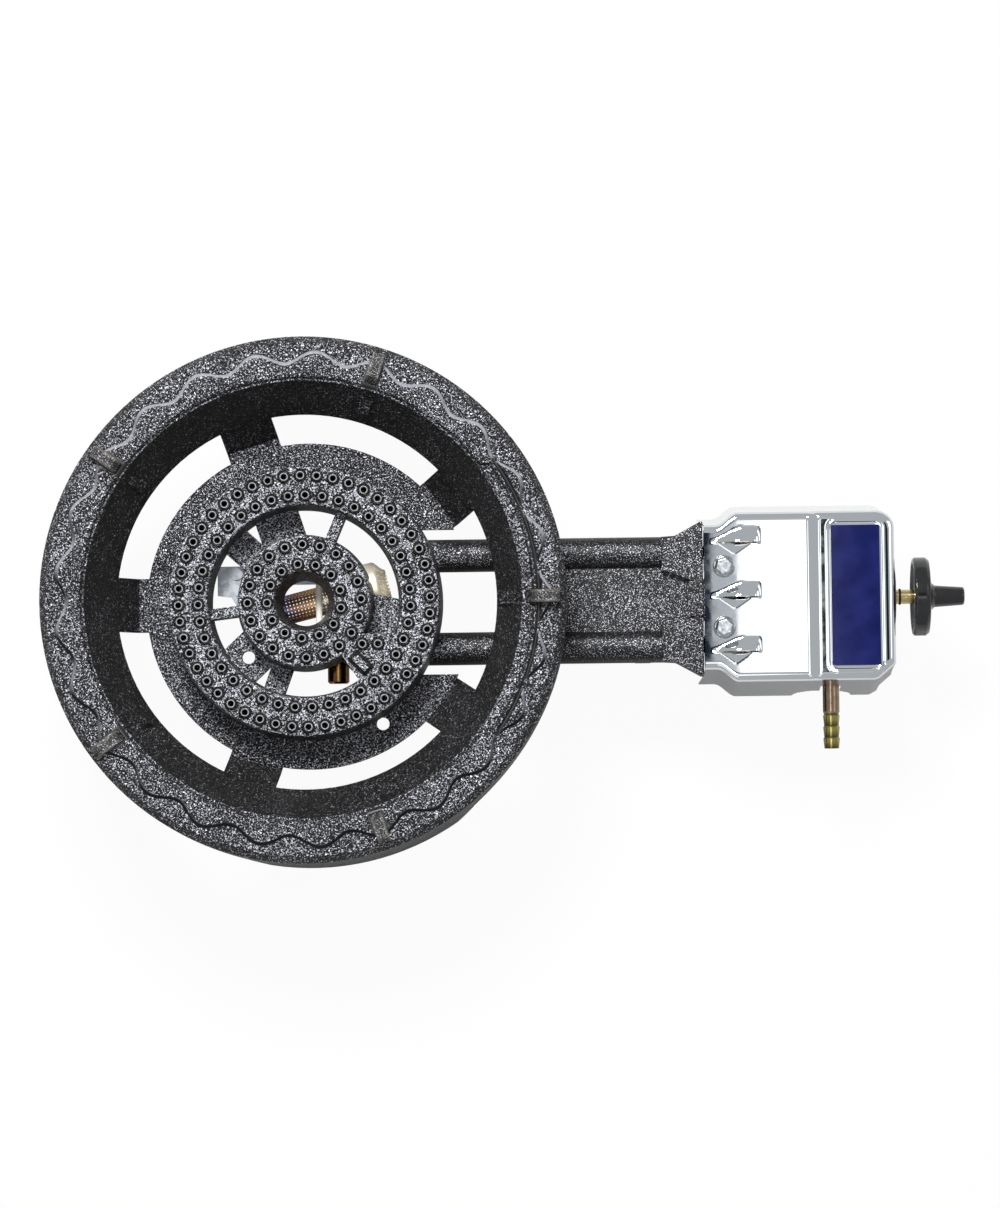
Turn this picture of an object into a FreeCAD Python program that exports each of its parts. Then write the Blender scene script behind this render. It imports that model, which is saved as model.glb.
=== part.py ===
import FreeCAD, Part
import Sketcher
import math
import os
import re

# A cast-iron gas ring burner: a pot ring on three legs, a burner casting with two ported rings
# and two mixing tubes, and a tap box with a push-and-turn tap, a spark igniter and a pilot.
# Millimetres, +X from the ring to the knob, +Z up, origin on the floor under the box centre.

DIMENSIONS = {
    # Pot ring frame
    "rim_top": 140, "rim_inner": 125, "rim_outer": 150.7, "rim_chamfer": 4, "rim_wall": 5.5,
    "cone_radius": 108, "cone_level": 109, "cone_foot": 4, "cone_drop": 3.5,
    "cone_arm_radius": 110.6, "cone_arm_angle": 58,
    "skirt_radius": 151.4, "skirt_wall": 5, "skirt_level": 98,
    "foot_radius": 152.5, "foot_wall": 6, "foot_toe": 14, "foot_height": 6,
    "arm_arch_foot": 127, "arm_arch_top": 118, "rear_arch_foot": 76, "rear_arch_top": 67,
    "arch_round": 40, "rear_arch_angle": 129, "arch_depth": 220,
    "rib_count": 5, "rib_width": 7, "rib_height": 7, "rib_outer": 146.5, "rib_flat": 14,
    "rib_inner": 112, "rib_inner_level": 122, "rib_bevel": 2,
    "spoke_width": 31, "spoke_drop": 1.5, "spoke_wall": 6,
    "plate_level": 90, "plate_wall": 6, "plate_outer": 94.5, "plate_inner": 60, "plate_gap": 42,
    "plate_shift_x": 2.4, "plate_shift_y": -1.6,
    "spare_hole_radius": 82.7, "spare_hole_angle": -58, "spare_hole": 7.4,
    # Burner casting
    "burner_height": 28, "draft_step": 1.5, "top_chamfer": 0.8,
    "outer_ring_inner": 55.3, "outer_ring_outer": 78, "inner_ring_inner": 17, "inner_ring_outer": 38.2,
    "centre_hole_foot": 13, "channel_floor": 8, "channel_roof": 6, "channel_wall": 4,
    "port": 3, "port_rim_gap": 5.6, "mid_row": 61, "core_row": 21.4,
    "outer_ports": 48, "mid_ports": 39, "inner_ports": 20, "core_ports": 13,
    "outer_turn": 1.3, "mid_turn": -3.3, "inner_turn": 1.4, "core_turn": -11.4,
    "bridge_angle": -56, "bridge_edge": 19, "bridge_port_y": -25, "bridge_port_x": 33, "bridge_pitch": 9,
    "lug_wall": 5, "lug_width": 26, "web_lug_width": 18, "narrow_lug_width": 13,
    "lug_hole": 7.4, "lug_hole_radius": 45.5,
    "rib_low_width": 6, "rib_low_top": 19,
    "tube_offset": 27, "tube": 19, "tube_bore": 13, "tube_drop": 8, "mouth_bore": 16, "mouth_depth": 9,
    "outer_riser": 60, "inner_riser": 41, "riser": 18, "riser_bore": 11,
    "arm_length": 230, "web_start": 118, "web_top": -4, "web_wall": 8,
    "flare_start": 214, "flare_half": 44.5, "flare_lip": 1.5, "flare_foot": 19, "flare_top": 2,
    "tapped_gap": 0.1,
    # Steel strap under the arm's end, measured from the end of the arm
    "bracket_sheet": 2, "bracket_rear": 22, "bracket_front": 62, "bracket_neck": 3,
    "bracket_wide": 15, "bracket_slim": 11, "bracket_lip": 7,
    "bracket_bolt_at": 11, "bracket_bolt_y": 9, "bracket_bolt_reach": 7,
    # Tap group, along the tap axis from the flange face at the end of the arm
    "inlet_at": 73.5, "crossbar_at": 26, "crossbar": 14, "crossbar_half": 34,
    "barrel": 22, "barrel_start": 32,
    "barrel_end": 86, "gas_bore": 9, "plug_rear": 62, "plug_front": 80, "plug_rear_radius": 7.5,
    "plug_front_radius": 8.5, "plug_clearance": 0.3, "running_gap": 0.05,
    "slot_depth": 5, "slot_half": 1.6, "slot_gap": 0.4, "tongue_gap": 3.5, "tongue_half": 1.3,
    "tap_foot_at": 48, "tap_foot_long": 12, "tap_foot_wide": 9, "tap_screw_pitch": 7, "tap_screw_reach": 5,
    "ear_half": 6, "ear_wall": 5,
    "inlet_boss": 18, "inlet_reach": 27, "inlet_bore": 6, "inlet_socket": 10, "inlet_nut": 17, "nut_wall": 6,
    "stem": 8.2, "stem_rear": 76, "stem_front": 136, "stem_flat": 3, "push_travel": 3,
    "collar": 14, "collar_at": 90.5, "collar_wall": 3,
    "spring_wire": 1.2, "spring_mean": 11, "spring_turns": 4,
    "bonnet_flange": 3, "bonnet_cup": 22, "bonnet_end": 96, "bonnet_wall": 2, "bonnet_half": 19,
    "bonnet_screw_at": 15.5, "bonnet_screw_reach": 4, "slot_width": 1,
    "shutter": 27, "shutter_wall": 1.5, "shutter_at": 1, "shutter_tab": 19, "shutter_tab_half": 3,
    "window_count": 3, "window_near": 7.5, "window_far": 11.5, "window_slim": 2.5, "window_wide": 4,
    "window_turn": 30,
    "jet": 8.9, "jet_collar": 13, "jet_hex": 12, "jet_bore": 1.5, "jet_tip": 4.8, "jet_way": 3,
    "barb": 9.6, "barb_end": 87.5, "barb_pitch": 6.6, "barb_crest": 9.6, "barb_root": 8.4, "barb_bore": 5,
    # Igniter and knob
    "igniter_plate_wall": 1.5, "igniter_plate_half": 14, "igniter_strip_half": 8,
    "igniter_half": 9, "igniter_near": 20.5, "igniter_far": 46, "igniter_bevel": 3,
    "terminal": 6, "terminal_height": 3,
    "igniter_front": 107.5, "plunger_at": 100.5, "plunger": 4.8, "plunger_tip": 2, "plunger_far": 28,
    "cam_start": 99.5, "cam_wall": 5, "cam_low": 6.5, "cam_lift": 6, "tap_turn": 90, "cam_gap": 0.45,
    "dial": 35.8, "dial_wall": 1, "dial_at": 110.05, "dial_hole": 10.8,
    "knob_at": 121.7, "knob": 45.5, "knob_rim": 9.7, "knob_end": 151.6, "grip_root": 12.6, "grip_tip": 10.4,
    "knob_dish": 5, "knob_bore_end": 137, "clip_length": 10, "clip_width": 4, "clip_wall": 0.5,
    "oring_at": 114.2, "oring_wire": 1.4, "oring_groove": 0.7, "oring_gap": 0.05,
    # Cover
    "sheet": 1, "cover_top": 106, "cover_bottom": 52, "cover_shoulder": 9, "cover_end": 340,
    "cover_gap": 0.3, "hose_notch": 34.4, "hose_notch_shift": -4, "hose_slot": 12,
    "panel_start": 294, "panel_end": 334, "panel_half": 45, "panel_height": 3, "panel_slope": 3,
    "name_plate_start": 303.5, "name_plate_end": 331, "name_plate_half": 40.3, "name_plate_wall": 0.8,
    "louver_x": 248.5, "louver_half": 14.2, "louver_low": 5.5, "louver_high": 6.5,
    "louver_height": 7, "louver_pitch": 31.5, "louver_slope": 4, "louver_lean": 1.5,
    "cover_bolt_x": 241.5, "cover_bolt_y": 17.6, "bolt_flange": 13, "bolt_flange_wall": 1.2,
    "strap_sheet": 2, "strap_foot": 9, "strap_half": 10, "strap_wing": 24, "strap_edge": 6,
    # Pilot
    "pilot_level": 74, "pilot_turn": 14, "pilot_tube_radius": 8.5, "bell_radius": 14.5, "pilot_wall": 0.8,
    "pilot_rear": -14, "bell_start": 18, "bell_full": 29, "bell_end": 42, "bell_close": 49,
    "electrode_x": 7.5, "electrode_level": 84.6, "ceramic": 3.8, "electrode": 1.4,
    "ceramic_near": -12, "ceramic_far": 17, "electrode_near": -14, "electrode_far": 24,
    "bracket_wall": 1.2, "injector": 12.5, "injector_x": 18, "injector_near": -46, "injector_shoulder": -26,
    "injector_bore": 4, "injector_neck": 7, "injector_boss": 7, "injector_boss_height": 3,
    "rivet_x": -40, "rivet_y": 17.5, "rivet_head": 3.4, "rivet_wall": 1, "pilot_screw_x": -24,
    "pilot_screw_y": 17,
    "pilot_pipe": 4, "lead": 3, "line_level": 66, "pipe_y": -31, "lead_y": -23,
    "line_clip_length": 9, "line_clip_near": -36, "line_clip_far": -18, "line_clip_lip": 4,
    "line_clip_screw": 3, "line_clip_screw_hex": 5.5, "line_clip_screw_head": 2,
    # Fasteners
    "bolt_shank": 6, "bolt_hex": 10, "bolt_head": 4, "screw_shank": 4, "screw_hex": 7, "screw_head": 2.8,
    "bolt_circle": 66.5,
    "washer": 12, "washer_wall": 1.6, "bolt_clearance": 0.3,
}

doc = FreeCAD.newDocument("gas_ring_burner")
sheet = doc.addObject("Spreadsheet::Sheet", "Dim")
for row, (alias, number) in enumerate(DIMENSIONS.items(), start=1):
    sheet.set(f"A{row}", alias)
    sheet.set(f"B{row}", str(number))
    sheet.setAlias(f"B{row}", alias)
doc.recompute()

ALIASES = re.compile(r"\b(" + "|".join(DIMENSIONS) + r")\b")
RING_X = "(foot_radius - arm_length - knob_end) / 2"
TAP_X = f"({RING_X} + arm_length)"
TAP_Z = "(plate_level - tube_drop)"
parts = {}


def size(expression):
    """The number that an expression of the sheet's dimensions gives."""
    answer = sheet.evalExpression(str(expression))
    return float(getattr(answer, "Value", answer))


def bind(item, path, expression):
    """Ties a property to the sheet."""
    item.setExpression(path, ALIASES.sub(r"Dim.\1", str(expression)))


def place(item, x=0, y=0, z=0, axis=(0, 0, 1), turn=0):
    """Puts an object at a point given by three expressions, turned about an axis."""
    rotation = FreeCAD.Rotation(FreeCAD.Vector(*axis), turn)
    item.Placement = FreeCAD.Placement(FreeCAD.Vector(size(x), size(y), size(z)), rotation)
    for letter, expression in zip("xyz", (x, y, z)):
        bind(item, f"Placement.Base.{letter}", expression)
    return item


def keep(label, item):
    """Gives a finished sub-part its own label, which names its file."""
    item.Label = label
    parts[label] = item
    return item


def new_body(label, x=RING_X, y=0, z=0, axis=(0, 0, 1), turn=0):
    body = doc.addObject("PartDesign::Body", label)
    body.AllowCompound = True
    place(body, x, y, z, axis, turn)
    return keep(label, body)


def datum(body, role):
    return next(item for item in body.Origin.OriginFeatures if item.Role == role)


def new_sketch(body, plane, lift=0, turn=0):
    """A sketch on one of the body's planes, lifted along the plane's normal, or turned about Z."""
    sketch = body.newObject("Sketcher::SketchObject", f"{body.Label}_sketch")
    sketch.AttachmentSupport = (datum(body, plane), "")
    sketch.MapMode = "FlatFace"
    spin = FreeCAD.Rotation(FreeCAD.Vector(0, 1, 0), turn)
    sketch.AttachmentOffset = FreeCAD.Placement(FreeCAD.Vector(0, 0, size(lift)), spin)
    bind(sketch, "AttachmentOffset.Base.z", lift)
    return sketch


def fix_point(sketch, geometry, position, x, y):
    """Holds a point of the sketch at two expressions from the sketch's origin."""
    for kind, expression, axis in (("DistanceX", x, -2), ("DistanceY", y, -1)):
        if str(expression) == "0":
            sketch.addConstraint(Sketcher.Constraint("PointOnObject", geometry, position, axis))
            continue
        number = sketch.addConstraint(
            Sketcher.Constraint(kind, -1, 1, geometry, position, size(expression)))
        name = f"{kind}{number}"
        sketch.renameConstraint(number, name)
        bind(sketch, f"Constraints.{name}", expression)


def outline(sketch, corners):
    """A closed outline of straight sides through corners given as pairs of expressions."""
    points = [FreeCAD.Vector(size(x), size(y), 0) for x, y in corners]
    first = sketch.GeometryCount
    count = len(points)
    for index, point in enumerate(points):
        sketch.addGeometry(Part.LineSegment(point, points[(index + 1) % count]))
    for index in range(count):
        following = first + (index + 1) % count
        sketch.addConstraint(Sketcher.Constraint("Coincident", first + index, 2, following, 1))
    for index, (x, y) in enumerate(corners):
        fix_point(sketch, first + index, 1, x, y)
    return sketch


def rounded_arch(sketch, foot_half, top_half):
    """An arched opening: sloping sides, a flat top and a quarter round at each top corner."""
    shoulder = "skirt_level - arch_round"
    inner = f"{top_half} - arch_round"
    corners = [(f"-{foot_half}", "-foot_height"), (foot_half, "-foot_height"), (top_half, shoulder),
               (inner, "skirt_level"), (f"-({inner})", "skirt_level"), (f"-{top_half}", shoulder)]
    points = [FreeCAD.Vector(size(x), size(y), 0) for x, y in corners]
    radius = size("arch_round")
    right = FreeCAD.Vector(size(inner), size(shoulder), 0)
    left = FreeCAD.Vector(-size(inner), size(shoulder), 0)
    upward = FreeCAD.Vector(0, 0, 1)
    sides = [Part.LineSegment(points[0], points[1]), Part.LineSegment(points[1], points[2]),
             Part.ArcOfCircle(Part.Circle(right, upward, radius), 0, math.pi / 2),
             Part.LineSegment(points[3], points[4]),
             Part.ArcOfCircle(Part.Circle(left, upward, radius), math.pi / 2, math.pi),
             Part.LineSegment(points[5], points[0])]
    for side in sides:
        sketch.addGeometry(side)
    for index in range(len(sides)):
        following = (index + 1) % len(sides)
        sketch.addConstraint(Sketcher.Constraint("Coincident", index, 2, following, 1))
    for index, (x, y) in enumerate(corners):
        fix_point(sketch, index, 1, x, y)
    for arc in (2, 4):
        number = sketch.addConstraint(Sketcher.Constraint("Radius", arc, radius))
        sketch.renameConstraint(number, f"Round{arc}")
        bind(sketch, f"Constraints.Round{arc}", "arch_round")


def circle(sketch, diameter, x="0", y="0"):
    """A circle whose centre and diameter are expressions."""
    centre = FreeCAD.Vector(size(x), size(y), 0)
    upward = FreeCAD.Vector(0, 0, 1)
    index = sketch.addGeometry(Part.Circle(centre, upward, size(diameter) / 2))
    fix_point(sketch, index, 3, x, y)
    number = sketch.addConstraint(Sketcher.Constraint("Diameter", index, size(diameter)))
    sketch.renameConstraint(number, f"Diameter{number}")
    bind(sketch, f"Constraints.Diameter{number}", diameter)
    return sketch


def feature(body, kind, sketch):
    item = body.newObject(f"PartDesign::{kind}", f"{body.Label}_{kind}")
    item.Profile = sketch
    return item


def pad(body, sketch, length, symmetric=False, reverse=False):
    item = feature(body, "Pad", sketch)
    bind(item, "Length", length)
    item.SideType = "Symmetric" if symmetric else "One side"
    item.Reversed = reverse
    return item


def pocket(body, sketch, length, symmetric=False, reverse=False):
    """A cut that must take material away, or the script stops."""
    doc.recompute()
    before = body.Shape.Volume
    item = feature(body, "Pocket", sketch)
    bind(item, "Length", length)
    item.SideType = "Symmetric" if symmetric else "One side"
    item.Reversed = reverse
    doc.recompute()
    if body.Shape.Volume > before - 1e-3:
        raise RuntimeError(f"{item.Name} cuts nothing")
    return item


def turned(body, corners, axis="V_Axis", cut=False, angle=360, plane="XZ_Plane"):
    """A turned solid, or a turned cut, from a half section."""
    sketch = outline(new_sketch(body, plane), corners)
    doc.recompute()
    before = body.Shape.Volume if cut else 0
    item = feature(body, "Groove" if cut else "Revolution", sketch)
    item.ReferenceAxis = (sketch, [axis])
    item.Midplane = True
    bind(item, "Angle", angle)
    doc.recompute()
    if cut and body.Shape.Volume > before - 1e-3:
        raise RuntimeError(f"{item.Name} cuts nothing")
    return item


def around(body, item, count, axis="Z_Axis"):
    """Repeats a feature round one of the body's axes."""
    pattern = body.newObject("PartDesign::PolarPattern", f"{body.Label}_pattern")
    pattern.Originals = [item]
    pattern.Axis = (datum(body, axis), [""])
    pattern.Angle = 360
    bind(pattern, "Occurrences", count)
    body.Tip = pattern
    return pattern


def polar(radius, side, angle):
    """A point at a radius and a sideways step from the ray at an angle, as two expressions."""
    return (f"({radius}) * cos({angle}) - ({side}) * sin({angle})",
            f"({radius}) * sin({angle}) + ({side}) * cos({angle})")


def radial_bar(near, far, half, angle):
    """The four corners of a straight bar along a ray."""
    return [polar(near, f"-{half}", angle), polar(far, f"-{half}", angle),
            polar(far, half, angle), polar(near, half, angle)]


def primitive(kind, **sizes):
    item = doc.addObject(f"Part::{kind}", f"{kind.lower()}_piece")
    for name, expression in sizes.items():
        bind(item, name, expression)
    return item


def fused(*items):
    item = doc.addObject("Part::MultiFuse", "joined")
    item.Shapes = list(items)
    item.Refine = True
    return item


def cut(base, tool):
    item = doc.addObject("Part::Cut", "cut_piece")
    item.Base = base
    item.Tool = tool
    return item


def group(label, items):
    """Identical pieces that share one node, each a solid of its own."""
    item = doc.addObject("Part::Compound", label)
    item.Links = items
    return keep(label, item)


# Pot ring frame

def pot_ring_frame():
    body = new_body("pot_ring_frame")
    turned(body, [
        ("rim_inner", "rim_top"), ("rim_outer - rim_chamfer", "rim_top"),
        ("rim_outer", "rim_top - rim_chamfer"), ("skirt_radius", "skirt_level"),
        ("foot_radius", "0"), ("foot_radius - foot_toe", "0"),
        ("foot_radius - foot_toe", "foot_height"), ("foot_radius - foot_wall", "foot_height"),
        ("skirt_radius - skirt_wall", "skirt_level"),
        ("rim_outer - skirt_wall", "rim_top - rim_wall"),
        ("rim_inner + cone_foot", "rim_top - rim_wall"),
        ("cone_radius + cone_foot", "cone_level - cone_drop"), ("cone_radius", "cone_level")])

    def arch(foot_half, top_half, turn):
        """One opening between two legs, cut outwards from the middle of the ring."""
        sketch = new_sketch(body, "YZ_Plane", turn=turn)
        rounded_arch(sketch, foot_half, top_half)
        pocket(body, sketch, "arch_depth", reverse=True)

    arch("arm_arch_foot", "arm_arch_top", 0)
    for side in (1, -1):
        arch("rear_arch_foot", "rear_arch_top", side * size("rear_arch_angle"))
    turned(body, [
        ("cone_radius - 2", "cone_level - 8"), ("cone_arm_radius", "cone_level - 8"),
        ("cone_arm_radius", "cone_level + 16"), ("cone_radius - 2", "cone_level + 16")],
        cut=True, angle="cone_arm_angle")
    rib = pad(body, outline(new_sketch(body, "XZ_Plane"), [
        ("rib_inner", "cone_level + 4"), ("rim_inner", "rim_top - rim_wall"),
        ("rib_outer", "rim_top - rim_chamfer"), ("rib_outer", "rim_top + rib_height - rib_bevel"),
        ("rib_outer - rib_bevel", "rim_top + rib_height"), ("rib_outer - rib_flat", "rim_top + rib_height"),
        ("rib_inner", "rib_inner_level")]), "rib_width", symmetric=True)
    around(body, rib, "rib_count")
    spoke_turn = 180 / size("rib_count")
    spoke = pad(body, outline(new_sketch(body, "XZ_Plane", turn=spoke_turn), [
        ("plate_outer - 8", "plate_level - plate_wall"), ("plate_outer + 4", "plate_level - plate_wall"),
        ("cone_radius + cone_foot + 2", "cone_level - cone_drop"),
        ("cone_radius + 1", "cone_level - spoke_drop"),
        ("plate_outer + 2", "plate_level - spoke_drop"),
        ("plate_outer - 8", "plate_level - spoke_drop")]), "spoke_width", symmetric=True)
    around(body, spoke, "rib_count")
    plate = new_sketch(body, "XY_Plane", lift="plate_level - plate_wall")
    circle(plate, "2 * plate_outer", "plate_shift_x", "plate_shift_y")
    pad(body, circle(plate, "2 * plate_inner"), "plate_wall")
    gap = outline(new_sketch(body, "XY_Plane", lift="plate_level - 2 * plate_wall"), [
        ("plate_inner / 4", "-plate_gap"), ("plate_outer + 6", "-plate_gap"),
        ("plate_outer + 6", "plate_gap"), ("plate_inner / 4", "plate_gap")])
    pocket(body, gap, "2 * plate_wall + 0.5", reverse=True)
    holes = new_sketch(body, "XY_Plane", lift="plate_level")
    for angle in BOLT_ANGLES:
        circle(holes, "bolt_shank + 2 * bolt_clearance", *polar("bolt_circle", 0, angle))
    circle(holes, "spare_hole", *polar("spare_hole_radius", 0, "spare_hole_angle"))
    pocket(body, holes, "plate_wall")


BOLT_ANGLES = (120, 180, 240)


# Burner casting: two ported rings, the bridge that feeds the inner one, and the two mixing tubes

LUGS = ((108, "lug_width"), (138, "web_lug_width"), (223, "lug_width"), (250, "narrow_lug_width"),
        (348, "lug_width"))
LUG_HOLE_ANGLE = 223
LOW_RIB_ANGLES = (67, 187)


def burner_casting():
    body = new_body("burner_casting", z="plate_level")
    for inner, outer, inner_step in (
            ("outer_ring_inner", "outer_ring_outer", "draft_step"),
            ("inner_ring_inner", "inner_ring_outer", "inner_ring_inner - centre_hole_foot")):
        turned(body, [
            (f"{inner} - ({inner_step})", "0"), (f"{outer} + draft_step", "0"),
            (outer, "burner_height - top_chamfer"), (f"{outer} - top_chamfer", "burner_height"),
            (f"{inner} + top_chamfer", "burner_height"), (inner, "burner_height - top_chamfer")])
    floor = "XY_Plane"
    pad(body, outline(new_sketch(body, floor), [
        polar("inner_ring_outer - 8", 0, "bridge_angle"), polar("outer_ring_inner + 7", 0, "bridge_angle"),
        ("outer_ring_inner + 4", "-bridge_edge"), ("inner_ring_outer - 14", "-bridge_edge")]),
        "burner_height")
    for angle, width in LUGS:
        pad(body, outline(new_sketch(body, floor), radial_bar(
            "inner_ring_outer - 6", "outer_ring_inner + 5", f"{width} / 2", angle)), "lug_wall")
    for angle in LOW_RIB_ANGLES:
        pad(body, outline(new_sketch(body, floor), radial_bar(
            "inner_ring_outer - 3", "outer_ring_inner + 3", "rib_low_width / 2", angle)), "rib_low_top")
    lug_hole = new_sketch(body, floor, lift="lug_wall")
    circle(lug_hole, "lug_hole", *polar("lug_hole_radius", 0, LUG_HOLE_ANGLE))
    pocket(body, lug_hole, "lug_wall")
    for side, riser_x in ((1, "outer_riser"), (-1, "inner_riser")):
        y = f"{side} * tube_offset"
        riser = circle(new_sketch(body, floor, lift="-tube_drop"), "riser", riser_x, y)
        pad(body, riser, "tube_drop + lug_wall")
        tube = circle(new_sketch(body, "YZ_Plane", lift=f"{riser_x} - riser / 2"), "tube", y, "-tube_drop")
        pad(body, tube, f"arm_length - {riser_x} + riser / 2")
    pad(body, outline(new_sketch(body, floor, lift="web_top - web_wall"), [
        ("web_start", "-tube_offset"), ("arm_length", "-tube_offset"),
        ("arm_length", "tube_offset"), ("web_start", "tube_offset")]), "web_wall")
    pad(body, outline(new_sketch(body, floor, lift="-flare_foot"), [
        ("flare_start - 8", "0.5 - tube_offset - tube / 2"), ("flare_start", "-tube_offset - tube / 2"),
        ("arm_length - flare_lip", "-flare_half"), ("arm_length", "-flare_half"),
        ("arm_length", "flare_half"), ("arm_length - flare_lip", "flare_half"),
        ("flare_start", "tube_offset + tube / 2"), ("flare_start - 8", "tube_offset + tube / 2 - 0.5")]),
        "flare_foot + flare_top")
    recess = outline(new_sketch(body, floor, lift="flare_top"), [
        ("flare_start - 12", "tube / 2 - tube_offset + 1"), ("flare_start - 6", "tube / 2 - tube_offset + 1"),
        ("arm_length - 4", "tube / 2 - tube_offset + 8"), ("arm_length - 4", "tube_offset - tube / 2 - 8"),
        ("flare_start - 6", "tube_offset - tube / 2 - 1"),
        ("flare_start - 12", "tube_offset - tube / 2 - 1")])
    pocket(body, recess, "flare_top - web_top")
    burner_gas_ways(body)
    burner_ports(body)
    burner_bolt_holes(body)


def burner_gas_ways(body):
    """Two separate circuits: the outer ring from one tube, the bridge and inner ring from the other."""
    for side, riser_x in ((1, "outer_riser"), (-1, "inner_riser")):
        y = f"{side} * tube_offset"
        mouth = new_sketch(body, "YZ_Plane", lift="arm_length")
        pocket(body, circle(mouth, "tube_bore", y, "-tube_drop"), f"arm_length - {riser_x}")
        flare = new_sketch(body, "YZ_Plane", lift="arm_length")
        pocket(body, circle(flare, "mouth_bore", y, "-tube_drop"), "mouth_depth")
        rise = circle(new_sketch(body, "XY_Plane", lift="-tube_drop"), "riser_bore", riser_x, y)
        pocket(body, rise, "tube_drop + channel_floor + 2", reverse=True)
    roof = "burner_height - channel_roof"
    for inner, outer in (("outer_ring_inner", "outer_ring_outer"),
                         ("inner_ring_inner - 1", "inner_ring_outer")):
        turned(body, [
            (f"{inner} + channel_wall", "channel_floor"), (f"{outer} - channel_wall", "channel_floor"),
            (f"{outer} - channel_wall", roof), (f"{inner} + channel_wall", roof)], cut=True)
    middle = "(bridge_angle - 20) / 2"
    way = new_sketch(body, "XY_Plane", lift="channel_floor")
    outline(way, radial_bar("inner_ring_outer - 8", "outer_ring_inner - 3", "riser_bore / 2", middle))
    pocket(body, way, "burner_height - channel_roof - channel_floor", reverse=True)


def burner_ports(body):
    """Rows of flame ports drilled down into the gas ways."""
    rows = (("outer_ring_outer - port_rim_gap", "outer_ports", "outer_turn"),
            ("mid_row", "mid_ports", "mid_turn"),
            ("inner_ring_outer - port_rim_gap", "inner_ports", "inner_turn"),
            ("core_row", "core_ports", "core_turn"))
    depth = "channel_roof + 1"
    for radius, count, turn in rows:
        port = new_sketch(body, "XY_Plane", lift="burner_height")
        circle(port, "port", *polar(radius, 0, turn))
        around(body, pocket(body, port, depth), count)
    bridge = new_sketch(body, "XY_Plane", lift="burner_height")
    for step in (0, 1):
        circle(bridge, "port", f"bridge_port_x + {step} * bridge_pitch", "bridge_port_y")
    pocket(body, bridge, depth)


def burner_bolt_holes(body):
    """Tapped holes for the bolts that hold the burner to the seat plate, the tap bracket and the cover."""
    seat = new_sketch(body, "XY_Plane")
    for angle in BOLT_ANGLES:
        circle(seat, "bolt_shank + tapped_gap", *polar("bolt_circle", 0, angle))
    pocket(body, seat, "channel_floor - 1", reverse=True)
    under = new_sketch(body, "XY_Plane", lift="-flare_foot")
    for side in (1, -1):
        circle(under, "bolt_shank + tapped_gap", "arm_length - bracket_bolt_at", f"{side} * bracket_bolt_y")
    pocket(body, under, "bracket_bolt_reach + 1", reverse=True)


BOLT = ("bolt_shank", "bolt_hex", "bolt_head")
SCREW = ("screw_shank", "screw_hex", "screw_head")


def hex_bolt(x, y, z, shank, across, head, length, down=True, flange=None):
    """A hexagon bolt; its head stands on the point and its shank runs down, or up, from there."""
    pieces = [primitive("Prism", Circumradius=f"({across}) / sqrt(3)", Height=head),
              primitive("Cylinder", Radius=f"({shank}) / 2", Height=length)]
    place(pieces[0], x, y, z if down else f"({z}) - ({head})")
    place(pieces[1], x, y, f"({z}) - ({length})" if down else z)
    if flange:
        collar = primitive("Cylinder", Radius=f"({flange}) / 2", Height="bolt_flange_wall")
        pieces.append(place(collar, x, y, z if down else f"({z}) - bolt_flange_wall"))
    return fused(*pieces)


def burner_fixings():
    bolts = []
    washers = []
    for angle in BOLT_ANGLES:
        x, y = polar("bolt_circle", 0, angle)
        x = f"{RING_X} + {x}"
        under = "plate_level - plate_wall"
        bolts.append(hex_bolt(x, y, f"{under} - washer_wall", *BOLT,
                              "plate_wall + washer_wall + channel_floor - 2", down=False))
        ring = primitive("Cylinder", Radius="washer / 2", Height="washer_wall")
        hole = primitive("Cylinder", Radius="(bolt_shank + bolt_clearance) / 2", Height="washer_wall")
        for piece in (ring, hole):
            place(piece, x, y, f"{under} - washer_wall")
        washers.append(cut(ring, hole))
    group("burner_bolts", bolts)
    group("burner_washers", washers)


# Tap bracket, tap body and jets

BRACKET_TOP = "-flare_foot + tube_drop"


def valve_bracket():
    """Steel strap under the end of the arm that carries the tap."""
    body = new_body("valve_bracket", TAP_X, 0, TAP_Z)
    edge = [("-bracket_rear", "bracket_wide"), ("-bracket_neck", "bracket_wide"),
            ("bracket_neck", "bracket_slim"), ("bracket_front", "bracket_slim")]
    strap = new_sketch(body, "XY_Plane", lift=f"{BRACKET_TOP} - bracket_sheet")
    pad(body, outline(strap, [(x, f"-{y}") for x, y in edge] + edge[::-1]), "bracket_sheet")
    lip = outline(new_sketch(body, "XY_Plane", lift=f"{BRACKET_TOP} - bracket_lip"), [
        ("bracket_front - bracket_sheet", "-bracket_slim"), ("bracket_front", "-bracket_slim"),
        ("bracket_front", "bracket_slim"), ("bracket_front - bracket_sheet", "bracket_slim")])
    pad(body, lip, "bracket_lip - bracket_sheet / 2")
    holes = new_sketch(body, "XY_Plane", lift=BRACKET_TOP)
    for side in (1, -1):
        circle(holes, "bolt_shank + 2 * bolt_clearance", "-bracket_bolt_at", f"{side} * bracket_bolt_y")
        circle(holes, "screw_shank + 2 * bolt_clearance", f"tap_foot_at + {side} * tap_screw_pitch", "0")
    pocket(body, holes, "bracket_sheet")


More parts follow.
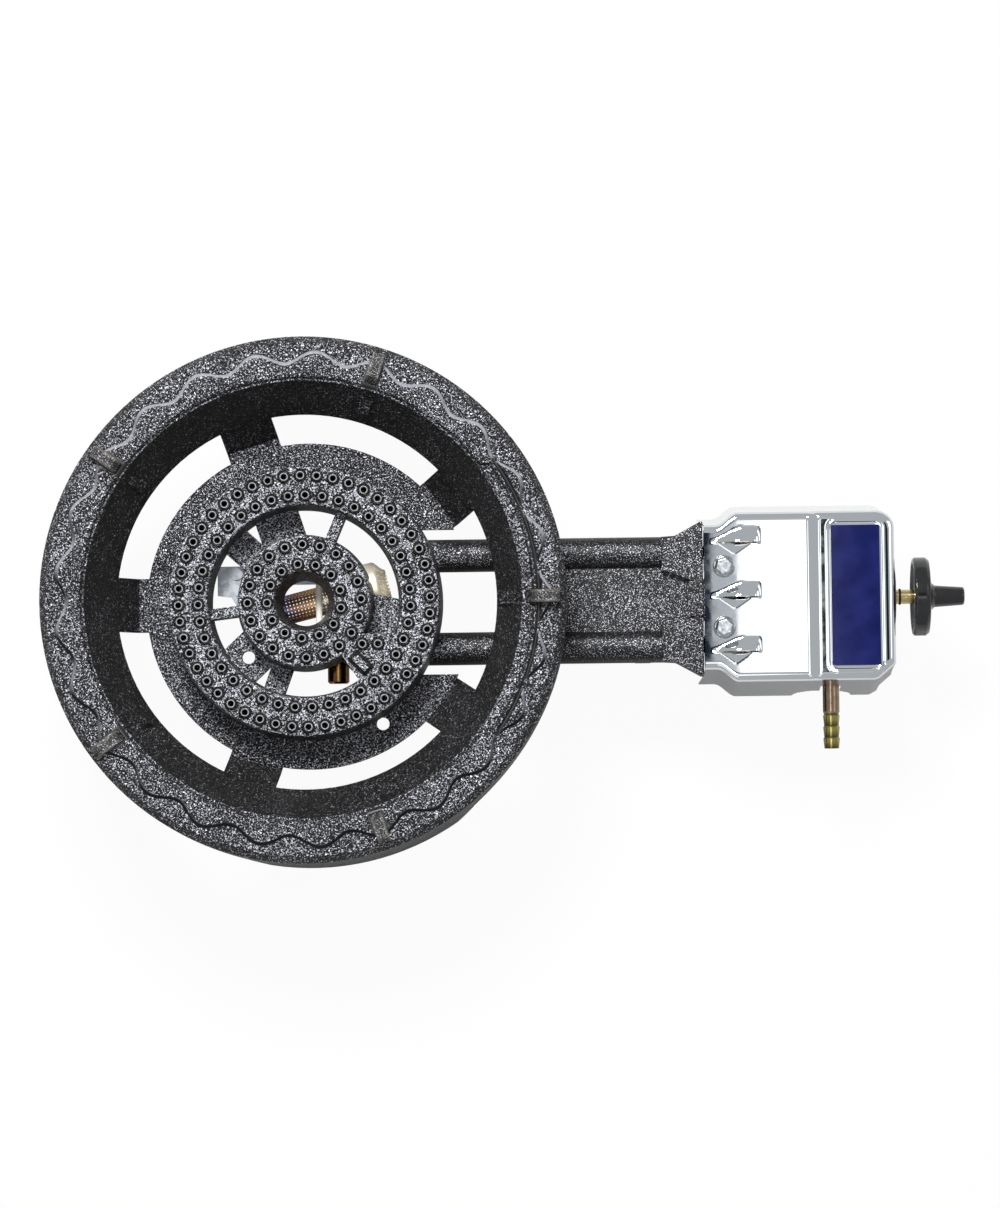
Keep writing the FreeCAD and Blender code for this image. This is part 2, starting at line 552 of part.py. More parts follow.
def bracket_fixings():
    bolts = []
    screws = []
    under = f"{TAP_Z} + {BRACKET_TOP} - bracket_sheet"
    for side in (1, -1):
        bolts.append(hex_bolt(f"{TAP_X} - bracket_bolt_at", f"{side} * bracket_bolt_y", under, *BOLT,
                              "bracket_sheet + bracket_bolt_reach", down=False))
        foot_x = f"{TAP_X} + tap_foot_at + {side} * tap_screw_pitch"
        screws.append(hex_bolt(foot_x, 0, under, *SCREW, "bracket_sheet + tap_screw_reach", down=False))
    group("bracket_bolts", bolts)
    group("valve_mount_screws", screws)


def gas_valve_body():
    """Brass tap body: a barrel for the taper plug, a cross bar for the two jets, an inlet boss."""
    body = new_body("gas_valve_body", TAP_X, 0, TAP_Z)
    turned(body, [
        ("crossbar_at", "0"), ("crossbar_at", "barrel / 2 - 4"), ("barrel_start + 2", "barrel / 2 - 4"),
        ("barrel_start + 6", "barrel / 2"), ("barrel_end", "barrel / 2"), ("barrel_end", "0")], axis="H_Axis")
    bar = circle(new_sketch(body, "XZ_Plane"), "crossbar", "crossbar_at", "0")
    pad(body, bar, "2 * crossbar_half", symmetric=True)
    inlet = circle(new_sketch(body, "XZ_Plane"), "inlet_boss", "inlet_at", "0")
    pad(body, inlet, "inlet_reach")
    foot = outline(new_sketch(body, "XY_Plane", lift=BRACKET_TOP), [
        ("tap_foot_at - tap_foot_long", "-tap_foot_wide"), ("tap_foot_at + tap_foot_long", "-tap_foot_wide"),
        ("tap_foot_at + tap_foot_long", "tap_foot_wide"), ("tap_foot_at - tap_foot_long", "tap_foot_wide")])
    pad(body, foot, f"-({BRACKET_TOP}) - barrel / 4")
    ears = outline(new_sketch(body, "YZ_Plane", lift="barrel_end - ear_wall"), [
        ("-bonnet_half", "-ear_half"), ("bonnet_half", "-ear_half"), ("bonnet_half", "ear_half"),
        ("-bonnet_half", "ear_half")])
    pad(body, ears, "ear_wall")
    turned(body, [
        ("crossbar_at", "0"), ("crossbar_at", "gas_bore / 2"), ("plug_rear", "gas_bore / 2"),
        ("plug_rear", "plug_rear_radius + running_gap"), ("plug_front", "plug_front_radius + running_gap"),
        ("barrel_end", "plug_front_radius + running_gap"), ("barrel_end", "0")], axis="H_Axis", cut=True)
    way = circle(new_sketch(body, "XZ_Plane"), "gas_bore - 2", "crossbar_at", "0")
    pocket(body, way, "2 * (crossbar_half - 4)", symmetric=True)
    throat = circle(new_sketch(body, "XZ_Plane"), "inlet_bore", "inlet_at", "0")
    pocket(body, throat, "inlet_reach", reverse=True)
    socket = new_sketch(body, "XZ_Plane", lift="inlet_reach")
    pocket(body, circle(socket, "inlet_socket + tapped_gap", "inlet_at", "0"), "inlet_socket")
    jets = new_sketch(body, "YZ_Plane", lift="crossbar_at - crossbar / 2")
    for side in (1, -1):
        circle(jets, "bolt_shank + tapped_gap", f"{side} * tube_offset", "0")
    pocket(body, jets, "crossbar / 2", reverse=True)
    screws = new_sketch(body, "YZ_Plane", lift="barrel_end")
    for side in (1, -1):
        circle(screws, "screw_shank + tapped_gap", f"{side} * bonnet_screw_at", "0")
    pocket(body, screws, "ear_wall")
    feet = new_sketch(body, "XY_Plane", lift=BRACKET_TOP)
    for side in (1, -1):
        circle(feet, "screw_shank + tapped_gap", f"tap_foot_at + {side} * tap_screw_pitch", "0")
    pocket(body, feet, "tap_screw_reach + 0.5", reverse=True)


def jets_and_shutters():
    """A brass jet for each mixing tube, with the air shutter that turns on it."""
    for name, side in (("outer", 1), ("inner", -1)):
        y = f"{side} * tube_offset"
        jet = new_body(f"{name}_jet", TAP_X, y, TAP_Z)
        turned(jet, [
            ("-1", "jet_bore / 2"), ("-1", "jet_tip / 2"), ("1", "jet / 2"), ("3", "jet / 2"),
            ("3", "jet_collar / 2"), ("5", "jet_collar / 2"), ("5", "jet / 2"),
            ("crossbar_at - crossbar / 2", "jet / 2"), ("crossbar_at - crossbar / 2", "bolt_shank / 2"),
            ("crossbar_at - 1", "bolt_shank / 2"), ("crossbar_at - 1", "jet_way / 2"),
            ("6", "jet_way / 2"), ("4", "jet_bore / 2")], axis="H_Axis")
        nut = outline(new_sketch(jet, "YZ_Plane", lift="crossbar_at - crossbar / 2 - nut_wall"), [
            polar("jet_hex / sqrt(3)", 0, 60 * corner) for corner in range(6)])
        pad(jet, circle(nut, "jet - 1"), "nut_wall")
        shutter = new_body(f"{name}_air_shutter", TAP_X, y, TAP_Z)
        disc = circle(new_sketch(shutter, "YZ_Plane", lift="shutter_at"), "shutter")
        pad(shutter, disc, "shutter_wall")
        tab = outline(new_sketch(shutter, "YZ_Plane", lift="shutter_at"), [
            ("-shutter_tab_half", "shutter / 2 - 2"), ("shutter_tab_half", "shutter / 2 - 2"),
            ("shutter_tab_half", "shutter_tab"), ("-shutter_tab_half", "shutter_tab")])
        pad(shutter, tab, "shutter_wall")
        front = "shutter_at + shutter_wall"
        hub = circle(new_sketch(shutter, "YZ_Plane", lift=front), "jet + 2 * running_gap")
        pocket(shutter, hub, "shutter_wall")
        window = outline(new_sketch(shutter, "YZ_Plane", lift=front), [
            polar("window_near", "window_slim", "window_turn"),
            polar("window_near", "-window_slim", "window_turn"),
            polar("window_far", "-window_wide", "window_turn"),
            polar("window_far", "window_wide", "window_turn")])
        around(shutter, pocket(shutter, window, "shutter_wall"), "window_count", axis="X_Axis")


def hose_barb():
    """Brass hose tail, turned about its own axis, which points away from the tap body."""
    body = new_body("hose_barb", f"{TAP_X} + inlet_at", 0, TAP_Z)
    thread_end = "-inlet_reach + inlet_socket - 0.5"
    nut_end = "-inlet_reach - nut_wall - 1"
    section = [("barb_bore / 2", thread_end), ("barb_bore / 2", "-barb_end"),
               ("barb_root / 2", "-barb_end")]
    for ridge in (0, 1, 2):
        start = f"-barb_end + {ridge} * barb_pitch"
        section += [("barb_crest / 2", f"{start} + barb_pitch * 0.85"),
                    ("barb_root / 2", f"{start} + barb_pitch")]
    section += [("barb / 2", "-barb_end + 3 * barb_pitch + 1.5"), ("barb / 2", nut_end),
                ("inlet_socket / 2 + 1", nut_end), ("inlet_socket / 2 + 1", "-inlet_reach"),
                ("inlet_socket / 2", "-inlet_reach"), ("inlet_socket / 2", thread_end)]
    turned(body, section, plane="XY_Plane")
    nut = outline(new_sketch(body, "XZ_Plane", lift="inlet_reach"), [
        polar("inlet_nut / sqrt(3)", 0, 60 * corner) for corner in range(6)])
    pad(body, circle(nut, "inlet_socket"), "nut_wall")


# Plug, stem, spring and bonnet

def valve_plug():
    """Taper plug with a hollow rear end, a side port facing the inlet when open, and a drive slot."""
    body = new_body("valve_plug", TAP_X, 0, TAP_Z)
    turned(body, [
        ("plug_rear + plug_clearance", "0"), ("plug_rear + plug_clearance", "plug_rear_radius"),
        ("plug_front", "plug_front_radius"), ("plug_front", "0")], axis="H_Axis")
    hollow = circle(new_sketch(body, "YZ_Plane", lift="plug_rear"), "gas_bore - 1")
    pocket(body, hollow, "inlet_at - plug_rear + 1.5", reverse=True)
    port = circle(new_sketch(body, "XY_Plane"), "inlet_bore", "inlet_at - 1", "0")
    pocket(body, port, "plug_front_radius + 1", reverse=True)
    slot = outline(new_sketch(body, "YZ_Plane", lift="plug_front"), [
        ("-stem / 2 - slot_gap", "-slot_half"), ("stem / 2 + slot_gap", "-slot_half"),
        ("stem / 2 + slot_gap", "slot_half"), ("-stem / 2 - slot_gap", "slot_half")])
    pocket(body, slot, "slot_depth")


def valve_stem():
    """Brass stem: a flat tongue in the plug's slot, a spring collar and a flat for the knob."""
    body = new_body("valve_stem", TAP_X, 0, TAP_Z)
    rear = "plug_front + tongue_gap"
    groove = "stem / 2 - oring_groove"
    turned(body, [
        (rear, "0"), (rear, "stem / 2"), ("collar_at", "stem / 2"),
        ("collar_at", "collar / 2"), ("collar_at + collar_wall", "collar / 2"),
        ("collar_at + collar_wall", "stem / 2"), ("oring_at - oring_wire / 2", "stem / 2"),
        ("oring_at - oring_wire / 2", groove), ("oring_at + oring_wire / 2", groove),
        ("oring_at + oring_wire / 2", "stem / 2"), ("stem_front - 1", "stem / 2"),
        ("stem_front", "stem / 2 - 1"), ("stem_front", "0")], axis="H_Axis")
    tongue = outline(new_sketch(body, "YZ_Plane", lift=rear), [
        ("-stem / 2", "-tongue_half"), ("stem / 2", "-tongue_half"),
        ("stem / 2", "tongue_half"), ("-stem / 2", "tongue_half")])
    pad(body, tongue, "slot_depth", reverse=True)
    flat = outline(new_sketch(body, "YZ_Plane", lift="stem_front"), [
        ("-stem", "stem_flat"), ("stem", "stem_flat"), ("stem", "stem"), ("-stem", "stem")])
    pocket(body, flat, "stem_front - knob_at - 1")


def stem_spring():
    """Compression spring round the stem, a round wire on quarter-turn arcs, ends at rest length."""
    wire = size("spring_wire")
    radius = size("spring_mean / 2")
    turns = int(size("spring_turns"))
    start = size("plug_front") + wire / 2 + 0.25
    pitch = (size("collar_at") - start - wire / 2 - 0.25) / turns
    eighths = [FreeCAD.Vector(start + pitch * step / 8, radius * math.cos(math.pi * step / 4),
                              radius * math.sin(math.pi * step / 4)) for step in range(8 * turns + 1)]
    arcs = [Part.Arc(*eighths[index:index + 3]).toShape() for index in range(0, 8 * turns, 2)]
    path = Part.Wire(arcs)
    section = Part.Wire(Part.makeCircle(wire / 2, eighths[0], arcs[0].tangentAt(arcs[0].FirstParameter)))
    item = doc.addObject("Part::Feature", "stem_spring")
    item.Shape = path.makePipeShell([section], True, False)
    place(item, TAP_X, 0, TAP_Z)
    gap = min((a - b).Length for index, a in enumerate(eighths) for b in eighths[index + 7:]) - wire
    print(f"stem_spring: least gap between turns {gap:.2f} mm")
    keep("stem_spring", item)


def valve_bonnet():
    """Cap that closes the barrel, with the bore that guides the stem."""
    body = new_body("valve_bonnet", TAP_X, 0, TAP_Z)
    flange = outline(new_sketch(body, "YZ_Plane", lift="barrel_end"), [
        ("-bonnet_half", "-ear_half"), ("-bonnet_cup / 2", "-bonnet_cup / 2"),
        ("bonnet_cup / 2", "-bonnet_cup / 2"), ("bonnet_half", "-ear_half"),
        ("bonnet_half", "ear_half"), ("bonnet_cup / 2", "bonnet_cup / 2"),
        ("-bonnet_cup / 2", "bonnet_cup / 2"), ("-bonnet_half", "ear_half")])
    pad(body, flange, "bonnet_flange")
    cup = circle(new_sketch(body, "YZ_Plane", lift="barrel_end"), "bonnet_cup")
    pad(body, cup, "bonnet_end - barrel_end")
    inside = circle(new_sketch(body, "YZ_Plane", lift="barrel_end"), "collar + 2")
    pocket(body, inside, "bonnet_end - bonnet_wall - barrel_end", reverse=True)
    guide = circle(new_sketch(body, "YZ_Plane", lift="bonnet_end"), "stem + 2 * running_gap")
    pocket(body, guide, "bonnet_wall + 1")
    screws = new_sketch(body, "YZ_Plane", lift="barrel_end + bonnet_flange")
    for side in (1, -1):
        circle(screws, "screw_shank + bolt_clearance", f"{side} * bonnet_screw_at", "0")
    pocket(body, screws, "bonnet_flange")


def bonnet_screws():
    screws = []
    face = "barrel_end + bonnet_flange + igniter_plate_wall"
    for side in (1, -1):
        pieces = [primitive("Cylinder", Radius="screw_hex / 2 - 0.2", Height="screw_head"),
                  primitive("Cylinder", Radius="screw_shank / 2",
                            Height="bonnet_flange + igniter_plate_wall + bonnet_screw_reach")]
        for piece, at in zip(pieces, (face, "barrel_end - bonnet_screw_reach")):
            place(piece, f"{TAP_X} + {at}", f"{side} * bonnet_screw_at", TAP_Z, (0, 1, 0), 90)
        slot = primitive("Box", Length="slot_width", Width="2 * screw_hex", Height="slot_width")
        place(slot, f"{TAP_X} + {face} + screw_head - slot_width",
              f"{side} * bonnet_screw_at - screw_hex", f"{TAP_Z} - slot_width / 2")
        screws.append(cut(fused(*pieces), slot))
    group("bonnet_screws", screws)


# Igniter

def igniter():
    """Spark igniter beside the tap: its plunger rides on a cam on the stem."""
    plate_face = "barrel_end + bonnet_flange"
    plate = new_body("igniter_plate", TAP_X, 0, TAP_Z)
    strip = outline(new_sketch(plate, "YZ_Plane", lift=plate_face), [
        ("-bonnet_half", "-igniter_plate_half"), ("bonnet_half", "-igniter_plate_half"),
        ("igniter_near + igniter_bevel", "-igniter_strip_half"),
        ("igniter_far - igniter_bevel", "-igniter_strip_half"),
        ("igniter_far", "igniter_bevel - igniter_strip_half"), ("igniter_far", "igniter_strip_half"),
        ("igniter_near + igniter_bevel", "igniter_strip_half"), ("bonnet_half", "igniter_plate_half"),
        ("-bonnet_half", "igniter_plate_half")])
    pad(plate, strip, "igniter_plate_wall")
    rear = f"{plate_face} + igniter_plate_wall"
    cup_hole = circle(new_sketch(plate, "YZ_Plane", lift=rear), "bonnet_cup + 0.4")
    pocket(plate, cup_hole, "igniter_plate_wall")
    screws = new_sketch(plate, "YZ_Plane", lift=rear)
    for side in (1, -1):
        circle(screws, "screw_shank + bolt_clearance", f"{side} * bonnet_screw_at", "0")
    pocket(plate, screws, "igniter_plate_wall")

    housing = new_body("igniter_housing", TAP_X, 0, TAP_Z)
    block = outline(new_sketch(housing, "XY_Plane"), [
        (rear, "igniter_near"), ("igniter_front", "igniter_near"),
        ("igniter_front", "igniter_far - igniter_bevel"), ("igniter_front - igniter_bevel", "igniter_far"),
        (rear, "igniter_far")])
    pad(housing, block, "2 * igniter_half", symmetric=True)
    bore = new_sketch(housing, "XZ_Plane", lift="-igniter_near")
    circle(bore, "plunger + 2 * running_gap", "plunger_at", "0")
    pocket(housing, bore, "plunger_far + cam_lift + 2 - igniter_near")
    terminal = new_sketch(housing, "XY_Plane", lift="-igniter_half")
    circle(terminal, "terminal", LEAD_EXIT_X, LEAD_EXIT_Y)
    pad(housing, terminal, "terminal_height", reverse=True)

    plunger = new_body("igniter_plunger", f"{TAP_X} + plunger_at", 0, TAP_Z)
    low = "cam_low + cam_gap"
    turned(plunger, [
        ("0", low), ("plunger_tip / 4", f"{low} + 0.07"), ("plunger_tip / 2", f"{low} + 1"),
        ("plunger_tip / 2", f"{low} + 8"), ("plunger / 2", f"{low} + 10"), ("plunger / 2", "plunger_far"),
        ("0", "plunger_far")], plane="XY_Plane")

    igniter_cam()


LEAD_EXIT_X = "plunger_at - 1"
LEAD_EXIT_Y = "igniter_near + 14"


def igniter_cam():
    """Cam whose radius grows evenly with the angle, so the plunger follows at a steady ratio."""
    low = size("cam_low")
    lift = size("cam_lift")
    sweep = math.radians(size("tap_turn"))
    margin = math.radians(12)

    def rim(angle, radius):
        return FreeCAD.Vector(0, radius * math.cos(angle), radius * math.sin(angle))

    steps = [sweep * (index / 6) for index in range(-1, 8)]
    spiral = Part.BSplineCurve()
    spiral.interpolate([rim(-step, low + lift * step / sweep) for step in steps])
    first, last = spiral.StartPoint, spiral.EndPoint
    drop_angle = -steps[-1] - margin
    drop = rim(drop_angle, low)
    start_angle = -steps[0]
    rest_radius = first.Length
    base = rim(drop_angle - margin, rest_radius)
    half_way = rim((drop_angle - margin + start_angle - 2 * math.pi) / 2, rest_radius)
    edges = [spiral.toShape(), Part.LineSegment(last, drop).toShape(), Part.LineSegment(drop, base).toShape(),
             Part.Arc(base, half_way, first).toShape()]
    face = Part.Face(Part.Wire(Part.__sortEdges__(edges)))
    solid = face.extrude(FreeCAD.Vector(size("cam_wall"), 0, 0))
    bore = Part.makeCylinder(size("stem / 2"), size("cam_wall"), FreeCAD.Vector(), FreeCAD.Vector(1, 0, 0))
    item = doc.addObject("Part::Feature", "igniter_cam")
    item.Shape = solid.cut(bore)
    place(item, f"{TAP_X} + cam_start", 0, TAP_Z)
    keep("igniter_cam", item)


# Knob and dial

def knob():
    """Moulded knob: a dished skirt disc and a tapered finger grip with a flat-sided bore."""
    body = new_body("knob", TAP_X, 0, TAP_Z)
    rim = "knob_at + knob_rim"
    turned(body, [
        ("knob_at + knob_dish", "0"), ("knob_at + knob_dish", "grip_root / 2 + 3"),
        ("knob_at + 1.5", "knob / 2 - 5"),
        ("knob_at", "knob / 2 - 3"), ("knob_at", "knob / 2 - 1"), ("knob_at + 1", "knob / 2"),
        (f"{rim} - 2.5", "knob / 2"), (f"{rim} - 0.5", "knob / 2 - 1.5"), (rim, "knob / 2 - 5"),
        (f"{rim} + 1", "grip_root / 2 + 2"), (f"{rim} + 3", "grip_root / 2"),
        ("knob_end - 0.8", "grip_tip / 2"), ("knob_end", "grip_tip / 2 - 0.8"), ("knob_end", "0")],
        axis="H_Axis")
    boss = circle(new_sketch(body, "YZ_Plane", lift="knob_at + 1"), "grip_root")
    pad(body, boss, "knob_dish")
    bore = circle(new_sketch(body, "YZ_Plane", lift="knob_at"), "stem + 0.1")
    pocket(body, bore, "knob_bore_end - knob_at", reverse=True)
    clip = primitive("Box", Length="clip_length", Width="clip_width", Height="clip_wall")
    place(clip, f"{TAP_X} + knob_at + 3", "-clip_width / 2", f"{TAP_Z} + stem_flat + 0.05")
    keep("knob_clip", clip)


def stem_o_ring():
    ring = primitive("Torus", Radius1="stem / 2 - oring_groove + oring_wire / 2",
                     Radius2="oring_wire / 2 - oring_gap")
    place(ring, f"{TAP_X} + oring_at", 0, TAP_Z, (0, 1, 0), 90)
    keep("stem_o_ring", ring)


def dial_plate():
    body = new_body("dial_plate", TAP_X, 0, TAP_Z)
    disc = circle(new_sketch(body, "YZ_Plane", lift="dial_at"), "dial")
    pad(body, circle(disc, "dial_hole"), "dial_wall")


# Sheet-metal cover over the tap

OPEN, SIDE, FRONT = "open", "side", "front"
COVER_PLAN = (
    (OPEN, ("arm_length + cover_gap", -48), ("arm_length + cover_gap", -39)),
    (SIDE, ("arm_length + 13", -49.5), ("arm_length + 15", -40.5)),
    (SIDE, ("arm_length + 25", -57), ("arm_length + 26", -46)),
    (FRONT, ("cover_end - 9", -56), ("cover_end - 9", -46)),
    (FRONT, ("cover_end", -45), ("cover_end", -39)),
    (FRONT, ("cover_end", 47), ("cover_end", 41)),
    (FRONT, ("cover_end - 1.5", 52.5), ("cover_end - 1.5", 44.5)),
    (FRONT, ("cover_end - 9", 56), ("cover_end - 9", 46)),
    (SIDE, ("arm_length + 25", 57), ("arm_length + 26", 46)),
    (SIDE, ("arm_length + 13", 49.5), ("arm_length + 15", 40.5)),
    (OPEN, ("arm_length + cover_gap", 48), ("arm_length + cover_gap", 39)))


def cover_section(level, share, inset, open_end):
    """The cover's plan at a level, a share of the way from its foot to its crown, drawn in by an inset."""
    sketch = doc.addObject("Sketcher::SketchObject", "cover_section")
    place(sketch, RING_X, 0, level)
    shifts = {OPEN: open_end, SIDE: "0", FRONT: inset}
    corners = []
    for kind, (foot_x, foot_y), (crown_x, crown_y) in COVER_PLAN:
        along = f"({foot_x}) + (({crown_x}) - ({foot_x})) * {share}"
        across = f"({foot_y}) + (({crown_y}) - ({foot_y})) * {share}"
        inward = -1 if foot_y > 0 else 1
        corners.append((f"{along} - ({shifts[kind]})", f"{across} + {inward} * ({inset})"))
    return outline(sketch, corners)


def cover_shell(inset, drop, open_end):
    """One skin of the cover: flared walls, a rounded shoulder and a flat top."""
    levels = (("cover_bottom", 0, 0), ("cover_top - cover_shoulder", 0.78, 0),
              ("cover_top - cover_shoulder * 0.3", 0.9, 1.2), ("cover_top", 1, 4))
    loft = doc.addObject("Part::Loft", "cover_skin")
    loft.Sections = [cover_section(f"{level} - {drop}", share, f"{inset} + {crown}", open_end)
                     for level, share, crown in levels]
    loft.Solid = True
    loft.Ruled = True
    return loft


def raised_wedge(x_low, x_high, y_low, y_high, base, height, slope, shift=0):
    """A pressed-up form with sloping sides on the cover's top."""
    item = primitive("Wedge", Xmin=x_low, Xmax=x_high, Ymin=0, Ymax=height,
                     Zmin=f"-({y_high})", Zmax=f"-({y_low})",
                     X2min=f"{x_low} + {slope}", X2max=f"{x_high} - {slope}",
                     Z2min=f"-({y_high}) + {slope} + {shift}", Z2max=f"-({y_low}) - {slope} + {shift}")
    return place(item, RING_X, 0, base, (1, 0, 0), 90)


def chrome_cover():
    """Plated sheet cover: flared walls, three air scoops, a raised panel, a stem hole and a tail slot."""
    embed = "0.2"
    reach = "2"
    panel = raised_wedge("panel_start", "panel_end", "-panel_half", "panel_half", f"cover_top - {embed}",
                         f"panel_height + {embed}", "panel_slope / 2")
    under_panel = raised_wedge("panel_start + sheet", "panel_end - sheet",
                               "sheet - panel_half", "panel_half - sheet",
                               f"cover_top - {reach}", f"panel_height + {reach} - sheet", "panel_slope / 2")
    outer = [cover_shell("0", "0", "0"), panel]
    tools = [cover_shell("sheet", "sheet", "12"), under_panel]
    for row in (-1, 0, 1):
        low = f"{row} * louver_pitch - louver_low"
        high = f"{row} * louver_pitch + louver_high"
        outer.append(raised_wedge("louver_x - louver_half", "louver_x + louver_half", low, high,
                                  f"cover_top - {embed}", "louver_height", "louver_slope", "louver_lean"))
        inside = "louver_half - 1.4 * sheet"
        tools.append(raised_wedge(f"louver_x - ({inside})", f"louver_x + {inside}",
                                  f"{low} - 3 * sheet", f"{high} - 1.2 * sheet",
                                  f"cover_top - {reach}", "louver_height + sheet",
                                  "louver_slope", "louver_lean - 0.5 * sheet"))
    stem_hole = primitive("Cylinder", Radius="dial_hole / 2", Height="30")
    tools.append(place(stem_hole, f"{RING_X} + cover_end - 20", 0, TAP_Z, (0, 1, 0), 90))
    tail_x = f"{TAP_X} + inlet_at"
    slot = primitive("Box", Length="hose_slot", Width="30", Height=f"{TAP_Z} - cover_bottom + 1")
    tools.append(place(slot, f"{tail_x} - hose_slot / 2", "-70", "cover_bottom - 1"))
    for width, middle, level in (("hose_slot", tail_x, TAP_Z),
                                 ("hose_notch", f"{tail_x} + hose_notch_shift", "cover_bottom")):
        arch = primitive("Cylinder", Radius=f"{width} / 2", Height="30")
        tools.append(place(arch, middle, "-70", level, (1, 0, 0), -90))
    for side in (1, -1):
        bolt_hole = primitive("Cylinder", Radius="bolt_shank / 2 + bolt_clearance", Height="20")
        tools.append(place(bolt_hole, f"{RING_X} + cover_bolt_x", f"{side} * cover_bolt_y", "cover_top - 10"))
    keep("chrome_cover", cut(fused(*outer), fused(*tools)))


def name_plate():
    """Thin enamelled plate on the raised panel, left bare."""
    plate = primitive("Box", Length="name_plate_end - name_plate_start", Width="2 * name_plate_half",
                      Height="name_plate_wall")
    place(plate, f"{RING_X} + name_plate_start", "-name_plate_half", "cover_top + panel_height")
    keep("name_plate", plate)


def cover_fixings():
    """Two flange bolts through the cover's top into a steel tie strap bolted over the arm's end."""
    strap = new_body("cover_strap")
    top = "cover_top - sheet"
    foot = "plate_level + flare_top"
    pad(strap, outline(new_sketch(strap, "XZ_Plane"), [
        ("arm_length - strap_foot", foot), ("arm_length + strap_sheet", foot),
        ("arm_length + strap_sheet", top), ("arm_length", top), ("arm_length", f"{foot} + strap_sheet"),
        ("arm_length - strap_foot", f"{foot} + strap_sheet")]), "2 * strap_half", symmetric=True)
    pad(strap, outline(new_sketch(strap, "XY_Plane", lift=f"{top} - strap_sheet"), [
        ("arm_length", "-strap_wing"), ("cover_bolt_x + strap_edge", "-strap_wing"),
        ("cover_bolt_x + strap_edge", "strap_wing"), ("arm_length", "strap_wing")]), "strap_sheet")
    holes = new_sketch(strap, "XY_Plane", lift=top)
    for side in (1, -1):
        circle(holes, "bolt_shank + tapped_gap", "cover_bolt_x", f"{side} * cover_bolt_y")
    pocket(strap, holes, "strap_sheet")
    bolts = []
    for side in (1, -1):
        bolts.append(hex_bolt(f"{RING_X} + cover_bolt_x", f"{side} * cover_bolt_y", "cover_top",
                              "bolt_shank", "bolt_hex", "bolt_head + 1", "8", flange="bolt_flange"))
    group("cover_bolts", bolts)


# Pilot burner, its spark electrode and their lines

PILOT_SIDE = "injector_x * tan(pilot_turn) - pilot_tube_radius / cos(pilot_turn) - 0.9"


def pilot_burner():
    """Thin steel flame tube with a bell end, turned a little towards the far tube."""
    body = new_body("pilot_burner", RING_X, 0, "pilot_level", turn=size("pilot_turn"))
    outer = [("pilot_rear", "pilot_tube_radius"), ("bell_start", "pilot_tube_radius"),
             ("bell_full", "bell_radius"), ("bell_end", "bell_radius"), ("bell_close", "bell_radius - 6")]
    inner = [(x, f"{radius} - pilot_wall") for x, radius in reversed(outer)]
    turned(body, outer + inner, axis="H_Axis")
    injector = new_body("pilot_injector", f"{RING_X} + injector_x", 0, "pilot_level")
    turned(injector, [
        ("injector_bore / 2", "injector_near"), ("injector / 2 - 1", "injector_near"),
        ("injector / 2", "injector_near + 1"), ("injector / 2", "injector_shoulder"),
        ("injector_neck / 2", "injector_shoulder + 3"), ("injector_neck / 2", PILOT_SIDE),
        ("injector_bore / 2", PILOT_SIDE)], plane="XY_Plane")
    boss = new_sketch(injector, "XY_Plane", lift="-injector / 2 - injector_boss_height")
    pad(injector, circle(boss, "injector_boss", "0", "pipe_y"), "injector_boss_height + 2")


def pilot_bracket():
    """Galvanised strip under the inner ring that holds the flame tube and the electrode."""
    body = new_body("pilot_bracket")
    top = "plate_level - bracket_wall"
    pad(body, outline(new_sketch(body, "XY_Plane", lift=top), [
        ("-51", "22"), ("-51", "5"), ("-43", "4"), ("-39", "-3"), ("-13", "-8"), ("-13", "11"), ("13", "11"),
        ("13", "22")]), "bracket_wall")
    drop = outline(new_sketch(body, "XY_Plane", lift="pilot_level - 2"), radial_bar(
        "pilot_rear - bracket_wall", "pilot_rear", "pilot_tube_radius - 1", "pilot_turn"))
    pad(body, drop, "plate_level - pilot_level + 2 - bracket_wall / 2")
    tab = outline(new_sketch(body, "XY_Plane", lift="electrode_level - 5"), [
        ("2", "12"), ("13", "12"), ("13", "13.2"), ("2", "13.2")])
    pad(body, tab, "plate_level - electrode_level + 5 - bracket_wall / 2")
    hole = new_sketch(body, "XZ_Plane", lift="ceramic_near")
    pocket(body, circle(hole, "ceramic + tapped_gap", "electrode_x", "electrode_level"), "bracket_wall")
    fixings = new_sketch(body, "XY_Plane", lift="plate_level")
    circle(fixings, "screw_shank + tapped_gap", "pilot_screw_x", "pilot_screw_y")
    circle(fixings, "screw_shank + tapped_gap", "rivet_x", "rivet_y")
    pocket(body, fixings, "bracket_wall")
    keep("pilot_bracket_screw", hex_bolt(f"{RING_X} + pilot_screw_x", "pilot_screw_y", top, *SCREW,
                                         "bracket_wall", down=False))
    rivet = []
    under = f"{top} - rivet_wall"
    for radius, height, level in (("rivet_head", "rivet_wall", "plate_level"),
                                  ("rivet_head", "rivet_wall", under),
                                  ("screw_shank / 2", "bracket_wall + rivet_wall", under)):
        disc = primitive("Cylinder", Radius=radius, Height=height)
        rivet.append(place(disc, f"{RING_X} + rivet_x", "rivet_y", level))
    keep("pilot_rivet", fused(*rivet))


def electrode():
    """Ceramic sleeve with the spark pin through it."""
    sleeve = new_body("electrode_insulator", f"{RING_X} + electrode_x", 0, "electrode_level")
    turned(sleeve, [
        ("electrode / 2", "ceramic_near"), ("ceramic / 2 - 0.5", "ceramic_near"),
        ("ceramic / 2", "ceramic_near + 0.5"), ("ceramic / 2", "ceramic_far"),
        ("electrode / 2", "ceramic_far")], plane="XY_Plane")
    pin = new_body("electrode_pin", f"{RING_X} + electrode_x", 0, "electrode_level")
    turned(pin, [
        ("0", "electrode_near"), ("electrode / 2", "electrode_near"),
        ("electrode / 2", "electrode_far - 1"), ("0", "electrode_far")], plane="XY_Plane")


